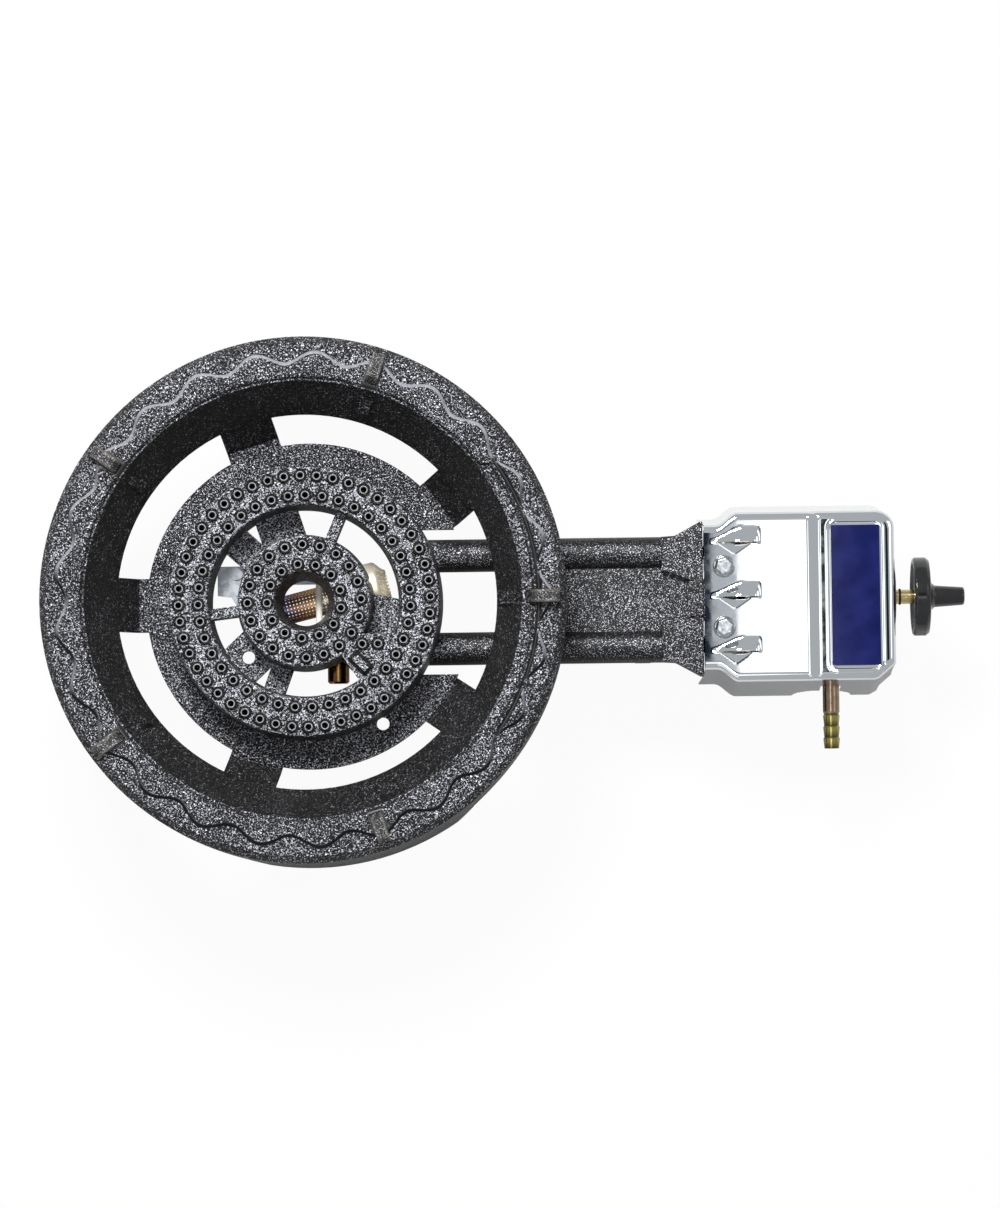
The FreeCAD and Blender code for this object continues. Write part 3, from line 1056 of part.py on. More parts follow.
def line(label, diameter, points):
    """A thin pipe or wire along straight runs joined by tangent arcs as large as the runs allow."""
    corners = [FreeCAD.Vector(*(size(value) for value in point)) for point in points]
    edges = []
    here = corners[0]
    for before, corner, after in zip(corners, corners[1:], corners[2:]):
        incoming = (corner - before).normalize()
        outgoing = (after - corner).normalize()
        reach = 0.45 * min((corner - before).Length, (after - corner).Length)
        entry = corner - incoming * reach
        leave = corner + outgoing * reach
        half_turn = incoming.getAngle(outgoing) / 2
        inward = (outgoing - incoming).normalize()
        radius = reach / math.tan(half_turn)
        middle = corner + inward * (radius / math.cos(half_turn) - radius)
        edges.append(Part.LineSegment(here, entry).toShape())
        edges.append(Part.Arc(entry, middle, leave).toShape())
        here = leave
    edges.append(Part.LineSegment(here, corners[-1]).toShape())
    path = Part.Wire(edges)
    section = Part.Wire(Part.makeCircle(size(diameter) / 2, corners[0], corners[1] - corners[0]))
    item = doc.addObject("Part::Feature", label)
    item.Shape = path.makePipeShell([section], True, False)
    expected = math.pi * size(diameter) ** 2 / 4 * path.Length
    share = item.Shape.Volume / expected
    print(f"{label}: length {path.Length:.0f} mm, volume {share:.3f} of section times length")
    place(item, RING_X, 0, 0)
    keep(label, item)


def pilot_lines():
    """The pilot's gas pipe and the spark lead, side by side under the near mixing tube."""
    tap = "arm_length"
    line("pilot_tube", "pilot_pipe", [
        (f"{tap} + crossbar_at", "-18", f"{TAP_Z} - crossbar / 2"),
        (f"{tap} + crossbar_at", "-18", "line_level + 3"),
        (f"{tap} + 14", "-26", "line_level"), (f"{tap} - 8", "pipe_y", "line_level"),
        ("92", "pipe_y", "line_level"), ("44", "pipe_y", "line_level - 4"),
        ("injector_x", "pipe_y", "line_level - 8"),
        ("injector_x", "pipe_y", "pilot_level - injector / 2 - 3")])
    line("ignition_lead", "lead", [
        (f"{tap} + {LEAD_EXIT_X}", LEAD_EXIT_Y, f"{TAP_Z} - igniter_half - 3"),
        (f"{tap} + {LEAD_EXIT_X}", LEAD_EXIT_Y, "line_level - 8"),
        (f"{tap} + 76", "14", "line_level - 9"), (f"{tap} + 40", "-16", "line_level - 7"),
        (f"{tap} + 4", "lead_y + 1", "line_level - 1"), (f"{tap} - 30", "lead_y", "line_level"),
        ("96", "lead_y", "line_level"), ("60", "lead_y + 3", "line_level - 3"),
        ("30", "-21", "line_level - 5"), ("11", "-22", "line_level - 3"),
        ("electrode_x", "-22", "electrode_level - 4"),
        ("electrode_x", "electrode_near - 0.8", "electrode_level")])


CLIP_STATIONS = (130, 195)


def line_clips():
    """Two steel clips, each screwed to the tube's underside, that carry the pipe and the lead."""
    clips = []
    screws = []
    floor = "(line_level - pilot_pipe / 2 - sheet)"
    for station in CLIP_STATIONS:
        x = f"{RING_X} + {station}"
        strip = primitive("Box", Length="line_clip_length", Height="sheet",
                          Width="line_clip_far - line_clip_near")
        pieces = [place(strip, f"{x} - line_clip_length / 2", "line_clip_near", floor)]
        for y in ("line_clip_near", "line_clip_far - sheet"):
            lip = primitive("Box", Length="line_clip_length", Width="sheet", Height="line_clip_lip")
            pieces.append(place(lip, f"{x} - line_clip_length / 2", y, floor))
        hole = primitive("Cylinder", Radius="(line_clip_screw + tapped_gap) / 2", Height="3 * sheet")
        place(hole, x, "-tube_offset", f"{floor} - sheet")
        clips.append(cut(fused(*pieces), hole))
        screws.append(hex_bolt(x, "-tube_offset", floor, "line_clip_screw", "line_clip_screw_hex",
                               "line_clip_screw_head", f"{TAP_Z} - tube / 2 + 0.9 - {floor}", down=False))
    group("line_clips", clips)
    group("line_clip_screws", screws)


def clip_screw_holes(body):
    holes = new_sketch(body, "XY_Plane", lift="-tube_drop - tube / 2 - 1")
    for station in CLIP_STATIONS:
        circle(holes, "line_clip_screw + tapped_gap", str(station), "-tube_offset")
    pocket(body, holes, "3", reverse=True)


def main():
    pot_ring_frame()
    burner_casting()
    clip_screw_holes(parts["burner_casting"])
    burner_fixings()
    valve_bracket()
    bracket_fixings()
    gas_valve_body()
    jets_and_shutters()
    hose_barb()
    valve_plug()
    valve_stem()
    stem_spring()
    valve_bonnet()
    bonnet_screws()
    igniter()
    knob()
    stem_o_ring()
    dial_plate()
    chrome_cover()
    name_plate()
    cover_fixings()
    pilot_burner()
    pilot_bracket()
    electrode()
    pilot_lines()
    line_clips()
    doc.recompute()
    check_and_write()


def check_and_write():
    """Stops at any failed object, then writes every sub-part to its own file."""
    for item in doc.Objects:
        if "Invalid" in item.State or "Error" in item.State:
            raise RuntimeError(f"{item.Name} ({item.Label}) failed: {item.State}")
    for label, item in parts.items():
        if item.Shape.isNull() or not item.Shape.isValid() or not item.Shape.Solids:
            raise RuntimeError(f"{label} has no valid solid")
    os.makedirs("parts", exist_ok=True)
    for label, item in parts.items():
        item.Shape.exportStep(f"parts/{label}.step")
        box = item.Shape.BoundBox
        print(f"{label}: {len(item.Shape.Solids)} solid, volume {item.Shape.Volume:.0f} mm3, "
              f"size {box.XLength:.1f} x {box.YLength:.1f} x {box.ZLength:.1f} mm")
    print(f"{len(parts)} sub-parts written")


main()
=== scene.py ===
# %% [markdown]
# A cast-iron gas ring burner, dressed for the camera.
# The construction model arrives as a fixed frame: every casting, tap part and screw already has
# its true place and size in metres. This lesson keeps that frame, gives each piece the finish it
# has on the real object, and adds the forms that are too fine for a construction model.

# %% Load the frame
import math

import bmesh
import bpy
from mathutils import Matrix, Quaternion, Vector


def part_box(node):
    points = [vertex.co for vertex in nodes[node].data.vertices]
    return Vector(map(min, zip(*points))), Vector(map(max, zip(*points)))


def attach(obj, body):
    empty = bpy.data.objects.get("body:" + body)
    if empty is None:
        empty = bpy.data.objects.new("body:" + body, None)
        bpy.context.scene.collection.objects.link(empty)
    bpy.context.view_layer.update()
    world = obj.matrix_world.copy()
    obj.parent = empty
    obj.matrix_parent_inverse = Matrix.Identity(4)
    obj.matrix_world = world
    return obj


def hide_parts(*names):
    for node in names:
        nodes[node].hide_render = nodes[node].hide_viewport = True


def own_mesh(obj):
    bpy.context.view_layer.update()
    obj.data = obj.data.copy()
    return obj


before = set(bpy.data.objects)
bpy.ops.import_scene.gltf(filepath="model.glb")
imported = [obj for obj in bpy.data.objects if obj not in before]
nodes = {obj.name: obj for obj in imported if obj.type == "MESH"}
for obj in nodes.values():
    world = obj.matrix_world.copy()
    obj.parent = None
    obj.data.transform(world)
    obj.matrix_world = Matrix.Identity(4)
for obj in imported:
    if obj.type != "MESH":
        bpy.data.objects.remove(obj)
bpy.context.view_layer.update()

# %% [markdown]
# Sizes below are written in millimetres, as on a workshop drawing, and turned to metres at once.
# The ring's centre is read from the frame: the pot ring's far edge is its foot radius away from it.

# %% Reference points
MM = 0.001
FOOT_RADIUS = 152.5 * MM
ring_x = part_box("pot_ring_frame")[0][0] + FOOT_RADIUS
burner_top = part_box("burner_casting")[1][2]
rim_top = 140 * MM
tap_level = (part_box("knob")[0][2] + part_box("knob")[1][2]) / 2
print(f"ring centre x {ring_x:.4f}, burner top {burner_top:.4f}, tap axis at {tap_level:.4f}")

# %% [markdown]
# A few small helpers serve every material and every node tree. One turns a web colour, which is
# written for the eye, into the linear light that a shader works in. Two build trees: one adds a
# node with its options, the other fills a node's inputs. Inputs are given by name, or as a row in
# the node's own order: for a map range that is the value, the range it has and the range it gets.
# The kinds of nodes that come back most often have a short name.

# %% Helpers for node trees
MATH, VECTOR_MATH, RANGE = "ShaderNodeMath", "ShaderNodeVectorMath", "ShaderNodeMapRange"
NOISE, MIX, BUMP = "ShaderNodeTexNoise", "ShaderNodeMix", "ShaderNodeBump"
SPLIT, COMBINE = "ShaderNodeSeparateXYZ", "ShaderNodeCombineXYZ"
MOVE, JOIN, SWEEP = "GeometryNodeTransform", "GeometryNodeJoinGeometry", "GeometryNodeCurveToMesh"
SET_MATERIAL, PLANT = "GeometryNodeSetMaterial", "GeometryNodeInstanceOnPoints"
CIRCLE, LINE = "GeometryNodeCurvePrimitiveCircle", "GeometryNodeMeshLine"
SOFT = {"interpolation_type": "SMOOTHSTEP"}


def linear(colour):
    """A hex colour such as 3a3b3c as linear red, green, blue and a full alpha."""
    parts = [int(colour[start:start + 2], 16) / 255 for start in (0, 2, 4)]
    bright = [part / 12.92 if part <= 0.04045 else ((part + 0.055) / 1.055) ** 2.4
              for part in parts]
    return (*bright, 1.0)


def wire(node, inputs):
    """Fills a node's inputs: sets a value, links a socket or the first output of another node."""
    for name, value in inputs.items() if isinstance(inputs, dict) else enumerate(inputs):
        if isinstance(value, bpy.types.Node):
            value = next(output for output in value.outputs if output.enabled)
        if isinstance(value, bpy.types.NodeSocket):
            node.id_data.links.new(value, node.inputs[name])
        else:
            node.inputs[name].default_value = value


def add(tree, kind, inputs=(), operation=None, **settings):
    """Adds one node to a tree, sets its operation and other options, and fills its inputs."""
    made = tree.nodes.new(kind)
    if operation:
        made.operation = operation
    for name, value in settings.items():
        setattr(made, name, value)
    wire(made, inputs)
    return made


def new_material(name):
    """An empty node material: the material, its tree and its main shader."""
    material = bpy.data.materials.new(name)
    material.use_nodes = True
    return material, material.node_tree, material.node_tree.nodes["Principled BSDF"]


def new_finish(name):
    """The same for a finish with a pattern, and the place of a point on its piece."""
    material, tree, shader = new_material(name)
    return material, tree, shader, add(tree, "ShaderNodeTexCoord").outputs["Object"]


def show(name, data):
    """A new object in the scene, at the origin."""
    made = bpy.data.objects.new(name, data)
    bpy.context.collection.objects.link(made)
    return made


def dress(material, *names):
    """Puts a material on CAD nodes."""
    for name in names:
        for slot in nodes[name].material_slots:
            slot.material = material


# %% [markdown]
# The photograph looks straight down from about three metres, a touch from the hose side.
# A camera needs a place, a target and a lens. At that distance one picture element covers
# 0.57 mm of the rim, and the long side of the picture is 1208 of them, which fixes the lens.
# The arm points a little upwards in the picture, so the camera is also rolled by a small angle.

# %% Camera
SENSOR = 36.0
PIXEL = 0.57 * MM
LONG_SIDE = 1208
ROLL = math.radians(-0.73)


def aim(item, place, target, roll=0.0):
    """Stands an object at a place and turns it to face a target."""
    item.location = place
    item.rotation_mode = "QUATERNION"
    look = (Vector(target) - Vector(place)).to_track_quat("-Z", "Y")
    item.rotation_quaternion = look @ Quaternion((0, 0, 1), roll)


eye = Vector((ring_x + 112.3 * MM, -173.0 * MM, 3340 * MM))
target = Vector((eye.x, -4.3 * MM, rim_top))
optics = bpy.data.cameras.new("photo_camera")
optics.sensor_width = SENSOR
optics.lens = SENSOR * (eye - target).length / (PIXEL * LONG_SIDE)
optics.clip_start, optics.clip_end = 0.1, 60
scene = bpy.context.scene
scene.camera = show("photo_camera", optics)
aim(scene.camera, eye, target, ROLL)
print(f"lens {optics.lens:.1f} mm, camera {eye.z:.2f} m up")

# %% [markdown]
# A product picture on white needs three things: a pale floor that still takes a soft shadow, a
# bright sky that fills the shadows, and a few large lamps. The floor is plain white paint, and
# for the camera alone part of it glows, so it reads as paper white without more light on the
# object. Polished metal mirrors the white studio too, so the sky is paler for rays that bounce
# off a gloss.

# %% Floor and sky
FLOOR_SEEN, FLOOR_MIRRORED = 0.95, 0.1
SKY_FILL, SKY_SEEN = 0.25, 0.7
scene.view_settings.view_transform = "Standard"


def sight(tree):
    """Two values of 0 or 1: seen by the camera, also through glass, and seen in a gloss."""
    rays = add(tree, "ShaderNodeLightPath").outputs
    direct = add(tree, MATH, (rays["Is Camera Ray"], rays["Is Transmission Ray"]), "MAXIMUM")
    return direct, rays["Is Glossy Ray"]


floor_paint, tree, shader = new_material("matt_white_floor")
wire(shader, {"Base Color": linear("d2d2d1"), "Roughness": 0.9})
direct, mirrored = sight(tree)
seen = add(tree, MATH, (direct, FLOOR_SEEN), "MULTIPLY")
share = add(tree, MATH, (mirrored, FLOOR_MIRRORED, seen), "MULTIPLY_ADD")
glow = add(tree, "ShaderNodeEmission", {"Color": linear("ffffff"), "Strength": 1.0})
mixed = add(tree, "ShaderNodeMixShader", (share, shader, glow))
wire(tree.nodes["Material Output"], {"Surface": mixed})

bpy.ops.mesh.primitive_plane_add(size=30)
floor = bpy.context.object
floor.name = "studio_floor"
floor.data.materials.append(floor_paint)

scene.world = bpy.data.worlds.new("studio_sky")
scene.world.use_nodes = True
tree = scene.world.node_tree
shown = add(tree, MATH, sight(tree), "MAXIMUM")
strength = add(tree, RANGE, (shown, 0.0, 1.0, SKY_FILL, SKY_SEEN))
wire(tree.nodes["Background"], {"Color": linear("e9ecef"), "Strength": strength})
print("floor and sky ready")

# %% [markdown]
# The lamps are soft boxes. The main one stands high on the far side, a little to the left: on the
# real object that is what draws the bright band along each mixing tube, the light edge of the wavy
# border at the back and its dark edge at the front. Here the border's edges are painted light and
# shade as well, and the tubes' darker flanks are partly painted shade. Three weak lamps, overhead
# and on the other sides, keep the shadows open.

# %% Soft boxes


def soft_box(name, place, target, width, height, power):
    """A rectangular lamp at a place, facing a point; it never shows itself to the camera."""
    lamp = bpy.data.lights.new(name, "AREA")
    lamp.shape = "RECTANGLE"
    lamp.size, lamp.size_y, lamp.energy = width, height, power
    holder = show(name, lamp)
    aim(holder, place, target)
    holder.visible_camera = False


soft_box("key_box", (-0.45, 1.55, 2.65), (-0.05, 0, 0.1), 0.9, 0.7, 130)
soft_box("top_box", (-0.1, -0.35, 2.5), (0.0, 0, 0.1), 1.0, 1.0, 8)
soft_box("fill_box", (-0.6, -1.5, 1.7), (0.0, 0, 0.1), 1.4, 1.2, 3)
soft_box("side_box", (1.7, 0.5, 1.3), (0.1, 0, 0.1), 0.9, 1.2, 7)

# %% [markdown]
# Polished plate has no look of its own, it shows what hangs above it. The flat top of the cover
# mirrors the air straight over the camera's head, so cards hang there at two metres: a white one
# for the bright part of the top, darker ones for the strip beside the arm and for the end with
# the plate, and pale ones farther out for the rounded shoulders and the scoops. The camera never
# sees the cards. A ray that bounces off the top meets card height about 1.59 times as far from
# the camera's axis, which is how the cards get their places.

# %% Reflection cards
CARD_HEIGHT = 2.0
COVER_TOP = 106.0
cover_level = COVER_TOP * MM
spread = 1 + (CARD_HEIGHT - cover_level) / (eye.z - cover_level)


def over(x, y):
    """The point at card height that the cover's flat top mirrors to the camera at x and y."""
    return eye.x + (x - eye.x) * spread, eye.y + (y - eye.y) * spread


def card(name, colour, strength, corner, opposite):
    """A glowing flat card between two points of the cover's top, as the top mirrors them."""
    material, tree, _ = new_material(name)
    light = add(tree, "ShaderNodeEmission", {"Color": linear(colour), "Strength": strength})
    wire(tree.nodes["Material Output"], {"Surface": light})
    (x0, y0), (x1, y1) = over(*corner), over(*opposite)
    mesh = bpy.data.meshes.new(name)
    corners = [(x, y, CARD_HEIGHT) for x, y in ((x0, y0), (x0, y1), (x1, y1), (x1, y0))]
    mesh.from_pydata(corners, [], [(0, 1, 2, 3)])
    mesh.materials.append(material)
    panel = show(name, mesh)
    panel.visible_camera = panel.visible_diffuse = panel.visible_shadow = False


CARDS = (("dark_card_arm", "1d2a38", 1.0, (190, 234), (-110, 110)),
         ("grey_card_arm", "ced2d7", 1.0, (234, 249), (-110, 110)),
         ("white_card", "ffffff", 1.75, (249, 296.5), (-110, 110)),
         ("dark_card_plate", "20302f", 1.0, (296.5, 480), (-110, 110)),
         ("pale_card_far", "d4d6d8", 1.0, (190, 330), (110, 330)),
         ("dark_card_near", "3a4046", 1.0, (190, 330), (-135, -110)),
         ("pale_card_near", "d4d8dc", 1.0, (190, 330), (-420, -135)))
for name, colour, strength, (left, right), (near, far) in CARDS:
    card(name, colour, strength, (ring_x + left * MM, near * MM), (ring_x + right * MM, far * MM))
print(f"{len(CARDS)} cards at {CARD_HEIGHT} m, spread {spread:.3f}")

# %% [markdown]
# A few patterns come back in several places. A noise of a given patch size, carried to a range of
# values, stands for anything uneven. A colour ramp turns a value into a colour, and a blend lies
# between two colours. The distance from an axis tells the root of a round part from its crest,
# and the distance from the nearest of five spokes finds the ribs, which stand at every 72
# degrees.

# %% Patterns that several finishes share
RIB_STEP = math.radians(72)


def cloudy(tree, place, size_mm, detail):
    """A noise with patches of a size."""
    return add(tree, NOISE, {"Vector": place, "Scale": 1 / (size_mm * MM), "Detail": detail})


def patchy(tree, place, size_mm, detail, low, high, start=0.3, end=0.7):
    """The same noise, and what it becomes when it is carried to values from low to high."""
    noise = cloudy(tree, place, size_mm, detail)
    return noise, add(tree, RANGE, (noise, start, end, low, high))


def ramp(tree, value, colours):
    """Turns a value into a colour, by pairs of a place from 0 to 1 and a colour."""
    made = add(tree, "ShaderNodeValToRGB", (value,))
    band = made.color_ramp.elements
    while len(band) < len(colours):
        band.new(0.5)
    for element, (position, colour) in zip(band, colours):
        element.position = position
        element.color = linear(colour)
    return made


def blend(tree, share, first, second, **settings):
    """Mixes two colours by a share; a mix node has its colour inputs at 6 and 7."""
    return add(tree, MIX, {0: share, 6: first, 7: second}, data_type="RGBA", **settings)


def way_from(tree, place, point, plane):
    """The way from a point, as far as it lies in a plane: as a vector and as a length."""
    way = add(tree, VECTOR_MATH, (place, point), "SUBTRACT")
    flat = add(tree, VECTOR_MATH, (way, plane), "MULTIPLY")
    return flat, add(tree, VECTOR_MATH, (flat,), "LENGTH")


def off_rib(tree, angle, radius, step):
    """Distance from the middle of the nearest rib, for an angle and a radius round the ring."""
    turned = add(tree, MATH, (angle, step), "DIVIDE")
    nearest = add(tree, MATH, (turned,), "ROUND")
    aside = add(tree, MATH, (turned, nearest), "SUBTRACT")
    swung = add(tree, MATH, (aside, step), "MULTIPLY")
    arc = add(tree, MATH, (swung, radius), "MULTIPLY")
    return add(tree, MATH, (arc,), "ABSOLUTE")


# %% [markdown]
# Silver-vein paint covers both castings. It is a black lacquer with leafing aluminium: as it
# dries the silver gathers into grains of about half a millimetre, so the eye sees black with
# bright specks. A noise pattern gives the grains. They are drawn a little coarser than they are,
# since half a millimetre would blur away in the render. On the arm the coat is finer and
# smoother, with less silver.

# %% Silver-vein paint: grain
PAINT_RELIEF, ARM_RELIEF = 0.8, 0.25
ARM_START, ARM_FULL = ring_x + 70 * MM, ring_x + 100 * MM
ARM_GRAIN = 0.75


def vein_grain(tree, place, grain_mm, thinner):
    """The pattern of the silver and the strength of its relief, both weaker on the arm if asked."""
    look = {"Vector": place, "Detail": 1.5, "Roughness": 0.6}
    coarse = add(tree, NOISE, {**look, "Scale": 1 / (grain_mm * MM), "Distortion": 0.8})
    if not thinner:
        return coarse, PAINT_RELIEF
    along = add(tree, SPLIT, (place,)).outputs["X"]
    on_arm = add(tree, RANGE, (along, ARM_START, ARM_FULL))
    fine = add(tree, NOISE, {**look, "Scale": 1 / (ARM_GRAIN * grain_mm * MM)})
    either = add(tree, MIX, {0: on_arm, 2: coarse, 3: fine}, data_type="FLOAT")
    thinned = add(tree, MATH, (on_arm, -thinner, either), "MULTIPLY_ADD")
    return thinned, add(tree, RANGE, (on_arm, 0.0, 1.0, PAINT_RELIEF, ARM_RELIEF))


# %% [markdown]
# Pots stand on the five ribs and rub them: part of the silver is gone, a brown coat shows
# through, paler along the edges, and the edges are rounder than elsewhere. A point belongs to a
# rib if it lies above the rim, and to the rib's edge if it is far enough from the middle line of
# the nearest rib.

# %% Silver-vein paint: worn ribs
EDGE = 1.2 * MM
RIB_EDGE = 2.0 * MM
RIB_FADE = 2 * MM
RUBBED_FROM, RUBBED_TO = 1.7 * MM, 2.7 * MM
WEAR = 0.4


def worn_ribs(tree, place, colour, above):
    """The colour on the ribs, above a level, and the rounding of edges there and elsewhere."""
    height = add(tree, SPLIT, (place,)).outputs["Z"]
    on_rib = add(tree, RANGE, (height, above, above + RIB_FADE))
    flat, radius = way_from(tree, place, (ring_x, 0, 0), (1, 1, 0))
    sides = add(tree, SPLIT, (flat,)).outputs
    angle = add(tree, MATH, (sides["Y"], sides["X"]), "ARCTAN2")
    beside = off_rib(tree, angle, radius, RIB_STEP)
    at_edge = add(tree, RANGE, (beside, RUBBED_FROM, RUBBED_TO), **SOFT)
    bare = blend(tree, at_edge, linear("4a4744"), linear("8b857b"))
    wear = add(tree, MATH, (on_rib, WEAR), "MULTIPLY")
    worn = blend(tree, wear, colour, bare)
    return worn, add(tree, MATH, (on_rib, RIB_EDGE, EDGE), "MULTIPLY_ADD")


# %% [markdown]
# The paint puts these together. A steep range cuts the pattern to a mask of silver on black, and
# the same pattern lifts the surface a little. Faces that lie flat show more silver than steep
# ones: partly the leaf settling on what lies level, partly painted shade that darkens steep faces
# such as the cone and the flanks of the mixing tubes. A bevel node rounds the light on sharp
# edges, as sand casting does to the iron.

# %% Silver-vein paint
LEVEL_FROM, LEVEL_FULL, STEEP_LOSS_AND_SHADE = 0.4, 0.97, -0.09
BLACK_FROM, BLACK_END = 0.9, 0.5
DRIFT_MM, DRIFT = 30, 0.016
COVER_GAIN, MASK_LOW, MASK_HIGH = 0.3, 0.03, 0.05
BLACK_ROUGH, SILVER_ROUGH, SILVER_METAL = 0.36, 0.33, 0.65
PAINT_DEPTH = 1.2 * MM
DULL_PAINT = 0.2


def silver_vein(name, grain_mm, cover, dark, silver, thinner=0.0, worn_above=None):
    """Paint with silver grains of a size, over a share of the level faces, on softened edges."""
    material, tree, shader, place = new_finish(name)
    normal = add(tree, "ShaderNodeNewGeometry").outputs["Normal"]
    up = add(tree, SPLIT, (normal,)).outputs["Z"]
    pattern, strength = vein_grain(tree, place, grain_mm, thinner)
    # Steep faces lose silver: partly the leaf settling where it lies level, partly painted shade on
    # slopes.
    level = add(tree, RANGE, (up, LEVEL_FROM, LEVEL_FULL, STEEP_LOSS_AND_SHADE, 0.0))
    _, uneven = patchy(tree, place, DRIFT_MM, 2.0, -DRIFT, DRIFT)
    settled = add(tree, MATH, (pattern, level))
    amount = add(tree, MATH, (settled, uneven))
    middle = 0.5 + (0.5 - cover) * COVER_GAIN
    mask = add(tree, RANGE, (amount, middle - MASK_LOW, middle + MASK_HIGH), **SOFT)
    steep = add(tree, RANGE, (up, BLACK_END, BLACK_FROM, 1.0, 0.0))
    lacquer = blend(tree, steep, linear(dark), linear("151514"))
    colour = blend(tree, mask, lacquer, linear(silver))
    edge = EDGE
    if worn_above is not None:
        colour, edge = worn_ribs(tree, place, colour, worn_above)
    gloss = add(tree, RANGE, (mask, 0.0, 1.0, BLACK_ROUGH, SILVER_ROUGH))
    shine = add(tree, MATH, (mask, SILVER_METAL), "MULTIPLY")
    rounded = add(tree, "ShaderNodeBevel", {"Radius": edge}, samples=4)
    relief = add(tree, BUMP, {"Height": pattern, "Strength": strength, "Distance": PAINT_DEPTH,
                              "Normal": rounded})
    wire(shader, {"Base Color": colour, "Roughness": gloss, "Metallic": shine,
                  "Specular IOR Level": DULL_PAINT, "Normal": relief})
    return material


frame_paint = silver_vein("silver_vein_paint_on_cast_iron", 0.85, 0.25, "0a0a0c", "c4c5cd",
                          worn_above=rim_top + 3 * MM)
burner_paint = silver_vein("silver_vein_paint_on_burner", 0.8, 0.37, "0c0c0e", "cacbd3",
                           thinner=0.075)
dress(frame_paint, "pot_ring_frame")
dress(burner_paint, "burner_casting", "cover_strap")
print("painted castings")

# %% [markdown]
# Chrome plate is a mirror over pressed steel: no colour of its own, low roughness, and the slight
# waviness that pressing leaves, wide and shallow. Zinc plate is duller, with cloudy crystals.

# %% Chrome and zinc plate
chrome, tree, shader, place = new_finish("chrome_plate_on_steel")
waves = cloudy(tree, place, 26, 1.0)
_, haze = patchy(tree, place, 7, 4.0, 0.015, 0.05, start=0.4, end=0.75)
dents = add(tree, BUMP, {"Height": waves, "Strength": 0.012, "Distance": 0.06 * MM})
wire(shader, {"Base Color": linear("d2d5d8"), "Metallic": 1.0, "Roughness": haze, "Normal": dents})

zinc, tree, shader, place = new_finish("zinc_plated_steel")
crystals = add(tree, "ShaderNodeTexVoronoi", {"Vector": place, "Scale": 1 / (3.5 * MM)})
tone = ramp(tree, crystals.outputs["Color"], ((0.0, "6f7478"), (1.0, "979ba0")))
_, dull = patchy(tree, place, 0.8, 3.0, 0.36, 0.6, start=0.0, end=1.0)
wire(shader, {"Base Color": tone, "Metallic": 1.0, "Roughness": dull})
dress(zinc, "burner_bolts", "burner_washers", "valve_bracket", "bracket_bolts",
      "valve_mount_screws", "bonnet_screws", "igniter_plate", "line_clips", "line_clip_screws",
      "pilot_bracket", "pilot_bracket_screw", "pilot_rivet", "outer_air_shutter",
      "inner_air_shutter", "valve_bonnet", "knob_clip", "electrode_pin")
print("plated parts done")

# %% [markdown]
# Turned brass is yellow where the tool left it bright and browns where it was heated for brazing.
# The hose tail shows both: bright ridges at its end, a copper tint on the plain shank by the box.

# %% Brass
TAIL_X = 303.5
TAIL_ROOT, TAIL_CREST = 4.2 * MM, 4.6 * MM
TAIL_TINTS = ((0.0, "a49a5b"), (0.28, "a79d5f"), (0.31, "9c8671"), (0.6, "937d69"))


def turned_brass(name, colours, start, end, ridged=False):
    """Brass with a tint that runs along Y; on a ridged tail, the roots between the ridges are
    darker, a painted shade.
    """
    material, tree, shader, place = new_finish(name)
    along = add(tree, SPLIT, (place,)).outputs["Y"]
    tone = ramp(tree, add(tree, RANGE, (along, start, end)), colours)
    _, stain = patchy(tree, place, 4, 4.0, 0.72, 1.0, start=0.35)
    darkened = [stain]
    if ridged:
        # Painted shade: the roots between the ridges are darkened.
        _, away = way_from(tree, place, (ring_x + TAIL_X * MM, 0, tap_level), (1, 0, 1))
        darkened.append(add(tree, RANGE, (away, TAIL_ROOT, TAIL_CREST, 0.25, 1.0)))
    for darker in darkened:
        tone = blend(tree, 1.0, tone, darker, blend_type="MULTIPLY")
    _, gloss = patchy(tree, place, 0.6, 2.0, 0.1, 0.26, start=0.0, end=1.0)
    wire(shader, {"Base Color": tone, "Metallic": 1.0, "Roughness": gloss})
    return material


tail_low, tail_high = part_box("hose_barb")
tail_brass = turned_brass("turned_brass_tail", TAIL_TINTS, tail_low.y, tail_high.y, ridged=True)
dress(tail_brass, "hose_barb")
brass = turned_brass("turned_brass", ((0.0, "c0ae78"), (1.0, "cdbc88")), -0.04, 0.04)
dress(brass, "gas_valve_body", "outer_jet", "inner_jet", "valve_plug", "valve_stem")
brown_brass = turned_brass("heated_brass", ((0.0, "7d5c34"), (1.0, "9a7a4a")), -0.05, 0.0)
dress(brown_brass, "pilot_injector")
print("brass parts done")

# %% [markdown]
# The knob is moulded phenolic: black, hard and a little glossy, with a faint grain from the mould.
# Rubber, ceramic, drawn aluminium pipe, moulded acetal and two enamels finish the small parts.
# All of them are one tone with soft patches, so one function makes them.

# %% Plastics, rubber, ceramic and enamel
FINE_GRAIN_MM = 0.9


def plain_finish(name, low, high, patch_mm, rough, metal=0.0, relief=0.1, edge_mm=0.0):
    """One tone with soft patches, an uneven gloss, a shallow grain and, if asked, soft edges."""
    material, tree, shader, place = new_finish(name)
    patch, gloss = patchy(tree, place, patch_mm, 4.0, rough * 0.85, rough * 1.2)
    tone = ramp(tree, patch, ((0.3, low), (0.7, high)))
    grain = cloudy(tree, place, FINE_GRAIN_MM, 2.0)
    bump = add(tree, BUMP, {"Height": grain, "Strength": relief, "Distance": 0.1 * MM})
    if edge_mm:
        wire(bump, {"Normal": add(tree, "ShaderNodeBevel", {"Radius": edge_mm * MM}, samples=6)})
    wire(shader, {"Base Color": tone, "Metallic": metal, "Roughness": gloss, "Normal": bump})
    return material


